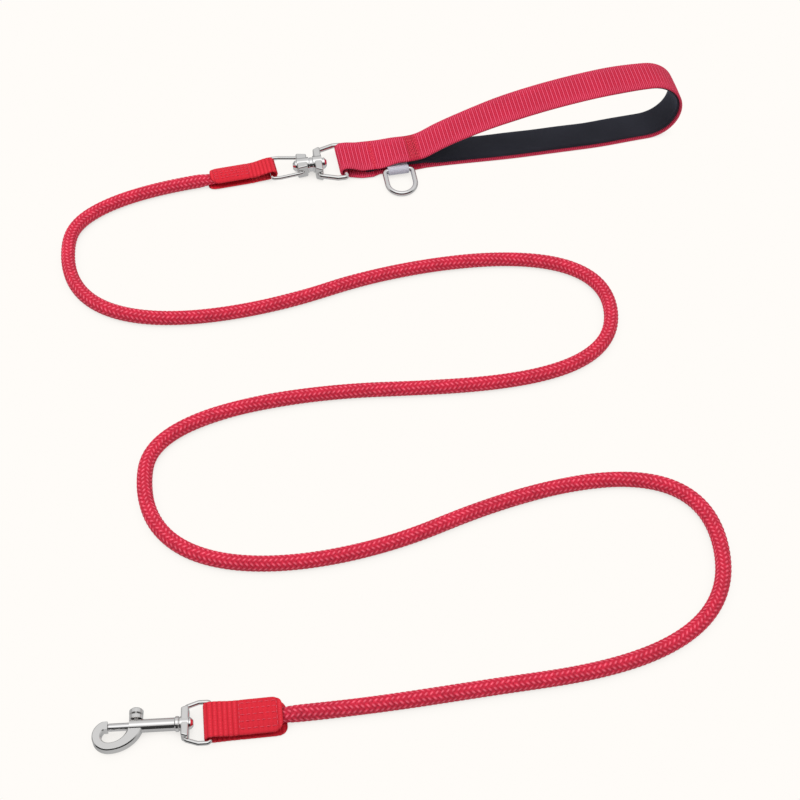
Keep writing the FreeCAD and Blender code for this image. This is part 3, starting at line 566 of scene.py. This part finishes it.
def pressed(x):
    """1 where the loop's seams press the ribs flat, else 0."""
    front = HANDLE.local(vertices("handle_front_stitching"))[:, 0].mean()
    start, end = rear_seam()
    in_front = eased(x, (front - SEAM_EDGE, 0.0), (front, 0.8), (front + SEAM_EDGE, 0.0))
    in_rear = eased(x, (start - SEAM_EDGE, 0.0), (start, 0.75), (end, 0.75), (end + SEAM_EDGE, 0.0))
    return in_front + in_rear


def hand_loop():
    step = RIB_PITCH / 5
    outer, normals, half_thickness = loop_path(step)
    sides = HANDLE.local(vertices("handle_webbing"))[:, 1]
    half_width = (sides.max() - sides.min()) / 2
    middle = outer - normals * half_thickness
    section, section_normals = strip_section(half_width, half_thickness, 18, 3)
    travelled = np.arange(len(middle)) * step
    crown = ribs(travelled[:, None], section[None, :, 0], RIB_PITCH)
    flat = pressed(middle[:, 0])[:, None]
    relief = (crown - 1) * RIB_HEIGHT * (1 - flat) - flat * SEAM_DEPTH
    out = section[None, :, 1] + section_normals[None, :, 1] * relief
    out = out + bowed(middle, section[None, :, 0], half_width)
    side = section[None, :, 0] + section_normals[None, :, 0] * relief
    rings = HANDLE.place(settled(strap_rings(middle, normals, out, side), half_width))
    fibres = np.stack(np.broadcast_arrays(travelled[:, None] / RIB_PITCH, side / WARP_PITCH), axis=-1)
    # Painted shade and highlight: light on the rib crowns, dark between them, darker where the seams press the
    # webbing flat.
    piece = skin("hand_loop_webbing", rings, True, crown * (1 - 0.6 * flat), fibres)
    piece.data.materials.append(webbing_weave)
    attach(piece, "handle")
    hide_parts("handle_webbing")
    return half_width


def lining(half_width):
    """The lining lies inside the webbing: thick in the sewn neck, thin round the open loop."""
    outer, normals, half_webbing = loop_path(LINING_STEP)
    inside = outer[:, 0] > LINING_START
    outer, normals = outer[inside], normals[inside]
    neck_gap = NECK_HIGH - 2 * half_webbing - NECK_LOW
    thickness = eased(outer[:, 0], (NECK_END, neck_gap / 2 - LINING_PLAY), (62 * MM, LINING_THICKNESS))
    middle = outer - normals * (2 * half_webbing + LINING_PLAY + thickness / 2)[:, None]
    sides = HANDLE.local(vertices("handle_lining"))[:, 1]
    lining_half_width = (sides.max() - sides.min()) / 2
    section, section_normals = strip_section(lining_half_width, LINING_THICKNESS / 2, 14, 3)
    along = np.arange(len(outer))[:, None] * LINING_STEP
    across = section[None, :, 0]
    ripple = np.sin(along / (7 * MM) + across / (9 * MM)) * np.sin(along / (19 * MM))
    slack = eased(outer[:, 0], (50 * MM, 0.0), (80 * MM, LINING_SLACK))[:, None] * ripple
    out = section[None, :, 1] * (thickness / LINING_THICKNESS)[:, None]
    out = out + np.where(section_normals[None, :, 1] < 0, slack, 0.0)
    out = out + bowed(middle, across, half_width)
    side = across * eased(outer[:, 0], (NECK_END, NECK_LINING_WIDTH), (60 * MM, 1.0))[:, None]
    rings = settled(strap_rings(middle, normals, out, side), half_width)
    piece = skin("hand_loop_lining", HANDLE.place(rings))
    piece.data.materials.append(lining_knit)
    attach(piece, "handle")
    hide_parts("handle_lining")


RIBBON_EDGE = 0.25 * MM
RIBBON_STEP = 0.3 * MM
RIBBON_PITCH = 0.9 * MM
RIBBON_RELIEF = 0.06 * MM


def ribbon_relief(along):
    """The ribbon's fine ribs, from 0 to 1."""
    return 0.6 + 0.4 * np.abs(np.sin(math.pi * along / RIBBON_PITCH))


def banded(name, lay, outline, width):
    """The ribbon as a soft slab: its side outline carried across its width, with rounded edges."""
    normals = outward_normals(outline)
    steps = np.linalg.norm(outline - np.roll(outline, 1, axis=0), axis=1)
    travelled = np.cumsum(steps)
    count = max(int(width / RIBBON_STEP), 4)
    inner = np.linspace(-1, 1, count) * (width / 2 - RIBBON_EDGE)
    turn = np.radians(np.linspace(0, 90, 5))[1:]
    outer = width / 2 - RIBBON_EDGE + RIBBON_EDGE * np.sin(turn)
    lanes = np.concatenate([-outer[::-1], inner, outer])
    insets = RIBBON_EDGE * (1 - np.cos(turn))
    insets = np.concatenate([insets[::-1], np.zeros(count), insets])
    rings, crowns = [], []
    for lane, inset in zip(lanes, insets):
        crown = ribbon_relief(travelled)
        ring = outline + normals * (crown * RIBBON_RELIEF - inset)[:, None]
        rings.append(lay.place(np.stack([ring[:, 0], np.full(len(ring), lane), ring[:, 1]], axis=1)))
        crowns.append(crown)
    # Painted shade and highlight: light on the ribbon's fine ribs, darker between them.
    return skin(name, np.array(rings), crown=np.array(crowns))


def ring_tab():
    """The ribbon round the D-ring's bar: its side view lies across the hand loop."""
    lay = Lay(HANDLE.origin, HANDLE.across)
    outline = softened(evenly(side_loops("d_ring_tab", lay)[0], RIBBON_EDGE), 3)
    sides = lay.local(vertices("d_ring_tab"))[:, 1]
    width = sides.max() - sides.min()
    lay.origin = lay.origin + lay.across * (sides.min() + sides.max()) / 2
    piece = banded("d_ring_ribbon", lay, outline, width)
    piece.data.materials.append(grey_ribbon)
    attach(piece, "handle")
    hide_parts("d_ring_tab")


# ---------------------------------------------------------------- sewing

THREAD_RADIUS = 0.27 * MM
STITCH_LENGTH = 2.3 * MM
STITCH_GAP = 0.5 * MM
STITCH_RINGS = 7
THREAD_TURN = np.linspace(0, 2 * math.pi, 8, endpoint=False)


def stitch(start, way, length, surface):
    """Rings of one bent length of thread, whose ends dive into the webbing."""
    shares = np.linspace(0, 1, STITCH_RINGS)
    lift = np.sin(math.pi * shares) ** 0.6
    girth = THREAD_RADIUS * (0.55 + 0.45 * lift)
    spots = start + np.outer(shares * length, way)
    heights = surface(spots[:, 0], spots[:, 1]) + (lift - 0.75) * THREAD_RADIUS
    side = np.array([-way[1], way[0]])
    flat = spots[:, None] + np.outer(girth, np.cos(THREAD_TURN))[..., None] * side
    rise = heights[:, None] + np.outer(girth, np.sin(THREAD_TURN))
    return np.dstack([flat, rise])


def seam(rows, surface):
    """All the stitches of some rows. Every other row has one stitch more, so that rows don't line up."""
    found = []
    for row, (start, end) in enumerate(rows):
        start, end = np.array(start, float), np.array(end, float)
        length = np.linalg.norm(end - start)
        way = (end - start) / length
        count = max(int(round(length / (STITCH_LENGTH + STITCH_GAP))), 1) + row % 2
        pitch = length / count
        for index in range(count):
            first = start + way * (pitch * index + STITCH_GAP / 2)
            found.append(stitch(first, way, pitch - STITCH_GAP, surface))
    return np.array(found)


def stitches(name, rows, surface, lay, body, node, settle=None):
    """Rows of stitches. Each row is (start, end) on the floor plan of a lay; surface gives heights."""
    threads = seam(rows, surface)
    per_stitch = STITCH_RINGS * len(THREAD_TURN)
    tube = ring_faces(STITCH_RINGS, len(THREAD_TURN))
    starts = np.arange(len(threads)) * per_stitch
    faces = [[int(start) + corner for corner in face] for start in starts for face in tube]
    # Painted highlight on the top of each thread and painted shade on its underside.
    crown = 0.35 + 0.65 * np.clip(np.sin(THREAD_TURN), 0, 1)
    points = threads.reshape(-1, 3)
    if settle is not None:
        points = settle(points)
    mesh = bpy.data.meshes.new(name)
    mesh.from_pydata(lay.place(points).tolist(), [], faces)
    add_attribute(mesh, "crown", np.broadcast_to(crown, threads.shape[:3]))
    piece = finished(name, mesh)
    piece.data.materials.append(sewing_thread)
    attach(piece, body)
    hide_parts(node)


def handle_sewing(half_width):
    """One seam next to the swivel, and a dense one where the loop opens. The seams show on both faces."""
    outer = loop_path(SEAM_STEP)[0]
    reach = half_width - SEAM_INSET
    front = HANDLE.local(vertices("handle_front_stitching"))[:, 0].mean()
    front_rows = (front - FRONT_SEAM_HALF_GAP, front + FRONT_SEAM_HALF_GAP)
    fronts = [((x, -reach), (x, reach)) for x in front_rows]
    backs = [((x, -reach), (x, reach)) for x in np.linspace(*rear_seam(), REAR_SEAM_ROWS)]
    for side, chosen in (("top", outer[:, 1] > 0), ("under", outer[:, 1] < 0)):
        chain = outer[chosen]
        chain = chain[chain[:, 0] < SEAM_ZONE]
        chain = chain[np.argsort(chain[:, 0])]

        def surface(x, y, chain=chain):
            return np.interp(x, chain[:, 0], chain[:, 1])

        def settle(points):
            return settled(points, half_width)

        stitches(f"front_seam_{side}", fronts, surface, HANDLE, "handle", "handle_front_stitching", settle)
        stitches(f"rear_seam_{side}", backs, surface, HANDLE, "handle", "handle_rear_stitching", settle)


# ---------------------------------------------------------------- sleeves

SLEEVE_RIB = 2.3 * MM
SLEEVE_RIB_HEIGHT = 0.12 * MM
SLEEVE_HALF_THICKNESS = 0.6 * MM
SLEEVE_SHOULDER = 12 * MM
EYELET_RADIUS = 3.2 * MM
SLEEVE_CORNER = 5 * MM
UNDER_LAYER_EXTRA = 1.8 * MM
TOP_DROOP = 1.9 * MM
UNDER_LIFT = 0.9 * MM
BOX_MARGIN = 2.6 * MM
BOX_ROWS = 5
BOX_LEAD = 1.5 * MM
BOX_EDGE = 0.9 * MM
ROW_WIDTH = 0.7 * MM
END_ROW_WIDTH = 0.6 * MM
THREAD_SINK = 0.12 * MM
ROW_DIMPLE = 0.14 * MM


def sleeve_heights(x, lift, side):
    """The middle line of a sleeve's upper (side 1) or lower (side -1) layer."""
    share = np.clip(x / SLEEVE_SHOULDER, 0, 1)
    start = lift + side * (EYELET_RADIUS - SLEEVE_HALF_THICKNESS)
    end = side * (ROPE_RADIUS - SLEEVE_HALF_THICKNESS)
    return start + (end - start) * share


def droop(x, y, half_width, side):
    """How far a layer bends away from its middle line towards the other layer, at its edges."""
    amount = np.where(np.asarray(side) > 0, -TOP_DROOP, UNDER_LIFT)
    return amount * (y / half_width) ** 2 * smoothstep(x, 0, SLEEVE_SHOULDER)


def box_rows(length, half_width):
    """The box of stitches on a sleeve: long rows, and a row across each end."""
    start, end = SLEEVE_SHOULDER + BOX_LEAD, length - BOX_MARGIN
    half = half_width - BOX_MARGIN
    lanes = np.linspace(-half, half, BOX_ROWS)
    return start, end, lanes


def dimples(x, y, length, half_width):
    """How deep the box of stitches pulls the webbing in."""
    start, end, lanes = box_rows(length, half_width)
    in_box = eased(x, (start - BOX_EDGE, 0.0), (start, 1.0), (end, 1.0), (end + BOX_EDGE, 0.0))
    pull = sum(np.exp(-(((y - lane) / ROW_WIDTH) ** 2)) for lane in lanes)
    pull = pull * (0.65 + 0.35 * np.sin(x / (1.1 * MM) + 2 * np.sin(y / (1.7 * MM))))
    across = sum(np.exp(-(((x - mark) / END_ROW_WIDTH) ** 2)) for mark in (start, end))
    return ROW_DIMPLE * in_box * np.clip(pull + across, 0, 1), in_box


def sleeve_course(length, lift, step):
    """The folded strip's middle line as (x, z), from its top end round the bar to its lower end.

    Also which layer each place is in, and how much its round corners take off each side there.
    """
    radius = EYELET_RADIUS - SLEEVE_HALF_THICKNESS
    down = np.arange(length, 0, -step)
    turn = np.radians(np.linspace(90, 270, int(math.pi * radius / step)))[1:-1]
    back = np.arange(0, length + UNDER_LAYER_EXTRA, step)
    x = np.concatenate([down, radius * np.cos(turn), back])
    z = np.concatenate(
        [sleeve_heights(down, lift, 1), lift + radius * np.sin(turn), sleeve_heights(back, lift, -1)]
    )
    side = np.concatenate([np.ones(len(down)), np.sin(turn), -np.ones(len(back))])
    ends = np.where(side > 0, length, length + UNDER_LAYER_EXTRA)
    into_corner = np.clip(x - (ends - SLEEVE_CORNER), 0, SLEEVE_CORNER)
    narrow = SLEEVE_CORNER - np.sqrt(SLEEVE_CORNER**2 - into_corner**2)
    return np.stack([x, z], axis=1), side, narrow


def sleeve(name, node, hinge, body):
    """A strip folded round a bar and closed on the rope."""
    lay = lay_of_strap(node, hinge, ROPE_RADIUS)
    reach = lay.local(vertices(node))
    length = reach[:, 0].max()
    half_width = (reach[:, 1].max() - reach[:, 1].min()) / 2
    lift = joints[hinge]["pos_m"][2] - ROPE_RADIUS
    step = SLEEVE_RIB / 9
    course, side, narrow = sleeve_course(length, lift, step)
    section, section_normals = strip_section(half_width, SLEEVE_HALF_THICKNESS, 34, 3)
    ahead = np.gradient(course, axis=0)
    normals = np.stack([ahead[:, 1], -ahead[:, 0]], axis=1)
    normals = normals / np.linalg.norm(normals, axis=1)[:, None]
    travelled = np.arange(len(course)) * step
    x = course[:, 0]
    y = section[None, :, 0] * (1 - narrow / half_width)[:, None]
    crown = ribs(travelled[:, None], y, SLEEVE_RIB, 1.3)
    depth, in_box = dimples(x[:, None], y, length, half_width)
    relief = (crown - 0.6) * SLEEVE_RIB_HEIGHT * (1 - 0.7 * in_box) - depth
    out = section[None, :, 1] + section_normals[None, :, 1] * relief
    y = y + section_normals[None, :, 0] * relief
    rings = strap_rings(course, normals, out, y)
    rings[..., 2] += droop(x[:, None], y, half_width, side[:, None])
    fibres = np.stack(np.broadcast_arrays(travelled[:, None] / SLEEVE_RIB, y / WARP_PITCH), axis=-1)
    # Painted shade and highlight: light on the rib crowns, dark between them, less contrast inside the box of
    # stitches and darker in its dimples.
    crown = np.clip(0.6 + (crown - 0.6) * (1 - 0.6 * in_box) - 0.2 * depth / ROW_DIMPLE, 0, 1)
    piece = skin(name, lay.place(rings), False, crown, fibres)
    piece.data.materials.append(sleeve_weave)
    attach(piece, body)
    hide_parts(node)
    return lay, length, half_width, lift


def sleeve_sewing(name, made, body, node):
    """A box of stitches filled with long rows, through both layers next to the rope's end."""
    lay, length, half_width, lift = made
    start, end, lanes = box_rows(length, half_width)
    rows = [((start, y), (end, y)) for y in lanes]
    rows += [((x, lanes[0]), (x, lanes[-1])) for x in (start, end)]

    def surface(x, y):
        level = sleeve_heights(x, lift, 1) + SLEEVE_HALF_THICKNESS - THREAD_SINK
        return level + droop(x, y, half_width, 1)

    stitches(name, rows, surface, lay, body, node)


# ---------------------------------------------------------------- rope

BRAID_YARNS = 10
BRAID_PITCH = 2.6 * MM
BRAID_DEPTH = 0.42 * MM
CUP_CLEARANCE = 6 * MM
TRACE_STEP = 2 * MM
TAIL_HALF_WIDTH = 3.9 * MM
TAIL_HALF_HEIGHT = 2.5 * MM
TAIL_LEAD = 7 * MM
TAIL_GRIP = 2 * MM


def traced(run, start, way, end=None):
    """The middle line of one run of rope, felt out with rays from both sides of its sheath."""
    shape = frame["nodes"][f"rope_sheath_run_{run}"].data
    tree = BVHTree.FromPolygons(
        [vertex.co for vertex in shape.vertices], [tuple(face.vertices) for face in shape.polygons]
    )
    reach = 2.5 * ROPE_RADIUS
    here, way = Vector(start), Vector(way).normalized()
    stride = CUP_CLEARANCE
    found = []
    while end is None or (Vector(end) - here).length > 1.5 * stride:
        ahead = here + way * stride
        side = Vector((-way.y, way.x, 0))
        left = tree.ray_cast(ahead + side * reach, -side, reach)[0]
        right = tree.ray_cast(ahead - side * reach, side, reach)[0]
        if left is None or right is None:
            break
        middle = (left + right) / 2
        way = (middle - here).normalized()
        here = Vector((middle.x, middle.y, ROPE_RADIUS))
        found.append(here[:])
        stride = TRACE_STEP
    return found


def rope_line():
    """The whole rope's middle line, from the hand loop's sleeve to the hook's."""
    bends = [joints[name]["pos_m"] for name in ("bend_1_2", "bend_2_3", "bend_3_4", "bend_4_5")]
    line = traced(1, bends[0], (0, 1, 0))[::-1]
    for run, (start, end) in enumerate(zip(bends, bends[1:] + [None]), start=2):
        line.append(tuple(start))
        line += traced(run, start, (0, -1, 0), end)
    line = evenly(np.array(line)[:, :2], MM, closed=False)
    return softened(line, 30, closed=False), np.array(bends)[:, :2]


def braid(first, second):
    """Relief and yarn of a two-over-two braid at a place given in yarn widths of each family."""
    row, column = np.floor(first), np.floor(second)
    phase = (row + column) % 4
    over = phase < 2
    across = np.where(over, first - row, second - column)
    along = np.where(over, phase + second - column, phase - 2 + first - row) / 2
    ridge = np.sqrt(np.clip(1 - (2 * across - 1) ** 2, 0, 1))
    arch = np.sin(math.pi * np.clip(along, 0, 1)) ** 0.5
    yarn = np.where(over, row, column + 0.37)
    tone = (np.sin(yarn * 12.9898) * 43758.5453) % 1
    fibres = np.stack([across + yarn, along * 2], axis=-1)
    return ridge * (0.35 + 0.65 * arch), tone, fibres


def at_marks(marks, line):
    """A course given every millimetre, read at some distances along it."""
    travelled = np.arange(len(line)) * MM
    return np.stack([np.interp(marks, travelled, line[:, axis]) for axis in (0, 1)], axis=-1)


def rope_girth(marks, lengths):
    """The rope's half width and half height: it is flattened where the sleeves hold its ends."""
    tail_start, tail_end = lengths
    held = smoothstep(-marks, -tail_start - TAIL_LEAD, -tail_start + TAIL_GRIP)
    held = held + smoothstep(marks, tail_end - TAIL_LEAD, tail_end + TAIL_GRIP)
    wide = ROPE_RADIUS + (TAIL_HALF_WIDTH - ROPE_RADIUS) * held
    high = ROPE_RADIUS + (TAIL_HALF_HEIGHT - ROPE_RADIUS) * held
    return wide[:, None], high[:, None]


def rope_piece(name, line, start, stop, lengths):
    """The braided rope between two marks along its line. lengths holds where the sleeves end."""
    step = BRAID_PITCH / 9
    marks = np.linspace(start, stop, int(round((stop - start) / step)) + 1)
    centre = at_marks(marks, line)
    heading = at_marks(marks, np.gradient(line, axis=0))
    heading /= np.linalg.norm(heading, axis=1)[:, None]
    side = np.stack([-heading[:, 1], heading[:, 0]], axis=1)
    around = 80
    turn = np.linspace(0, 2 * math.pi, around, endpoint=False)
    twist = 0.5 * np.sin(marks / (48 * MM)) + 0.3 * np.sin(marks / (27 * MM) + 1)
    share = (turn[None, :] + twist[:, None]) / (2 * math.pi) * BRAID_YARNS
    along = marks[:, None] / BRAID_PITCH
    crown, tone, fibres = braid(share + along, share - along)
    wide, high = rope_girth(marks, lengths)
    relief = (crown - 0.85) * BRAID_DEPTH
    out = np.cos(turn)[None, :] * (wide + relief)
    rise = np.sin(turn)[None, :] * (high + relief)
    x = centre[:, None, 0] + side[:, None, 0] * out
    y = centre[:, None, 1] + side[:, None, 1] * out
    rings = np.stack([x, y, ROPE_RADIUS + rise], axis=-1)
    # Painted shade and highlight: light on the braid's yarn crowns, dark between them; tone is each yarn's own
    # random colour.
    piece = skin(name, rings, False, crown, fibres, tone)
    piece.data.materials.append(rope_yarn)
    return piece


def rope(sleeve_lengths):
    """Four pieces that meet in the middle of the runs, each of them round the place of one joint."""
    line, bends = rope_line()
    travelled = np.arange(len(line)) * MM
    at_bends = [travelled[np.argmin(np.linalg.norm(line - bend, axis=1))] for bend in bends]
    middles = [(a + b) / 2 for a, b in zip(at_bends, at_bends[1:])]
    cuts = [0.0] + middles + [travelled[-1]]
    tail = SLEEVE_SHOULDER
    lengths = (sleeve_lengths[0] - tail, travelled[-1] - (sleeve_lengths[1] - tail))
    replaced = [(1,), (2,), (3,), (4, 5)]
    for index, bend in enumerate(bends):
        piece = rope_piece(f"rope_braid_{index + 1}", line, cuts[index], cuts[index + 1], lengths)
        for run in replaced[index]:
            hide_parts(f"rope_sheath_run_{run}", f"rope_core_run_{run}")
        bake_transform(piece)


# ---------------------------------------------------------------- metal

METAL = {
    "swivel_handle_frame": cast_nickel,
    "swivel_rope_frame": cast_nickel,
    "swivel_pin": wire_nickel,
    "swivel_washer": wire_nickel,
    "swivel_eye": cast_nickel,
    "hook_rivet": wire_nickel,
    "hook_body": cast_nickel,
    "bolt": wire_nickel,
    "thumb_stud": cast_nickel,
    "bolt_spring": spring_steel,
    "d_ring": wire_nickel,
}


def metal():
    for node, material in METAL.items():
        piece = frame["nodes"][node]
        for slot in piece.material_slots:
            slot.link = "OBJECT"
            slot.material = material


# ---------------------------------------------------------------- studio

FLOOR_COLOUR = linear((255, 252, 248))
FLOOR_DROP = 0.28
AIM = (0.0118, -0.01256, 0.0)
CAMERA_DISTANCE = 0.903
CAMERA_ELEVATION = math.radians(50)
CAMERA_LENS = 75.5
CLOTH_LIGHT = 0.66
MIRRORED_FLOOR = 0.5
FLOOR_HALF_SIZE = 3.0
FILM_HALF_SIZE = 0.6
FILM_DROP = 0.05 * MM
LAMPS = {
    "key": {"place": (-0.75, 0.25, 1.25), "wide": 0.9, "power": 11},
    "fill": {"place": (0.9, -0.3, 1.1), "wide": 0.8, "power": 3.6},
}


def plane(name, level, half, material):
    mesh = bpy.data.meshes.new(name)
    corners = [(-half, -half, level), (half, -half, level), (half, half, level), (-half, half, level)]
    mesh.from_pydata(corners, [], [(0, 1, 2, 3)])
    mesh.materials.append(material)
    piece = bpy.data.objects.new(name, mesh)
    bpy.context.scene.collection.objects.link(piece)
    return piece


def contact_shadow_film():
    """A clear film on the floor with a painted contact shadow: it only darkens where something rests on it or
    hangs close above.
    """
    paint = Paint(bpy.data.materials.new("shadow_film"))
    near = paint.add("AmbientOcclusion", Distance=9 * MM)
    near.samples = 8
    # Painted contact shadow: ambient occlusion tints the clear film dark near the leash.
    tint = paint.ramp(near.outputs["AO"], (0.0, grey(0.62)), (0.5, grey(0.95)), (0.8, grey(1.0)))
    film = paint.add("BsdfTransparent", Color=tint)
    output = paint.nodes["Material Output"]
    paint.wire(output, Surface=film.outputs[0])
    piece = plane("shadow_film", -FILM_DROP, FILM_HALF_SIZE, paint.owner)
    for kind in ("diffuse", "glossy", "transmission", "shadow"):
        setattr(piece, f"visible_{kind}", False)


def floor():
    """The pale floor. It lies well below the leash's poses, and is one even tone from everywhere.

    Metal mirrors it as grey, or the undersides would vanish against it.
    """
    paint = Paint(bpy.data.materials.new("floor"))
    path = paint.add("LightPath")
    seen = paint.add("Emission", Color=(*FLOOR_COLOUR, 1.0))
    mirrored = paint.add("Emission", Color=grey(MIRRORED_FLOOR))
    lit = paint.add("BsdfDiffuse", Color=grey(0.7))
    shown = lit
    for ray, other in (("Is Glossy Ray", mirrored), ("Is Camera Ray", seen)):
        shown = paint.add("MixShader", Fac=path.outputs[ray], _1=shown.outputs[0], _2=other.outputs[0])
    paint.wire(paint.nodes["Material Output"], Surface=shown.outputs[0])
    plane("floor", -FLOOR_DROP, FLOOR_HALF_SIZE, paint.owner)


def studio_world():
    """A white studio. Cloth gets even light; metal mirrors a dark front side and a grey horizon."""
    world = bpy.data.worlds.new("studio")
    world.cycles.sampling_method = "NONE"
    bpy.context.scene.world = world
    paint = Paint(world)
    way = paint.add("SeparateXYZ", _0=paint.add("TexCoord").outputs["Generated"])
    height = paint.ramp(
        way.outputs["Z"],
        (0.0, grey(0.3)),
        (0.4, grey(0.6)),
        (0.8, grey(0.66)),
        (0.92, grey(0.72)),
        (1.0, grey(1.3)),
    )
    front = paint.between(way.outputs["Y"], -0.05, -0.45)
    low = paint.between(way.outputs["Z"], 0.86, 0.74)
    shade = paint.multiply(paint.multiply(front, low), 0.93)
    mirrored = paint.mixed(shade, height, grey(0.0))
    path = paint.add("LightPath")
    lit = paint.mixed(path.outputs["Is Diffuse Ray"], mirrored, grey(CLOTH_LIGHT))
    seen = paint.mixed(path.outputs["Is Camera Ray"], lit, (*FLOOR_COLOUR, 1.0))
    paint.wire(paint.nodes["Background"], Color=seen)


def softbox(name, place, wide, power):
    """A lamp aimed at the leash's middle. Metal doesn't mirror it, or flat faces would burn out."""
    light = bpy.data.lights.new(name, "AREA")
    light.shape = "DISK"
    light.size = wide
    light.energy = power
    lamp = bpy.data.objects.new(name, light)
    lamp.location = place
    lamp.visible_glossy = False
    lamp.rotation_euler = (-Vector(place)).to_track_quat("-Z", "Y").to_euler()
    bpy.context.scene.collection.objects.link(lamp)


def studio_camera():
    data = bpy.data.cameras.new("camera")
    data.lens = CAMERA_LENS
    data.clip_start = 0.01
    camera = bpy.data.objects.new("camera", data)
    back = Vector((0, -math.cos(CAMERA_ELEVATION), math.sin(CAMERA_ELEVATION)))
    camera.location = Vector(AIM) + back * CAMERA_DISTANCE
    camera.rotation_euler = (-back).to_track_quat("-Z", "Y").to_euler()
    bpy.context.scene.collection.objects.link(camera)
    bpy.context.scene.camera = camera


handle_half_width = hand_loop()
lining(handle_half_width)
ring_tab()
handle_sewing(handle_half_width)
handle_end = sleeve("handle_sleeve", "handle_end_sleeve", "rope_frame_hinge", "rope_run_1")
sleeve_sewing("handle_sleeve_seam", handle_end, "rope_run_1", "handle_end_stitching")
hook_end = sleeve("hook_sleeve", "hook_end_sleeve", "eye_hinge", "rope_run_5")
sleeve_sewing("hook_sleeve_seam", hook_end, "rope_run_5", "hook_end_stitching")
rope((handle_end[1], hook_end[1]))
metal()
floor()
contact_shadow_film()
studio_world()
for lamp_name, lamp_setting in LAMPS.items():
    softbox(lamp_name, **lamp_setting)
studio_camera()
bpy.context.scene.view_settings.view_transform = "Standard"
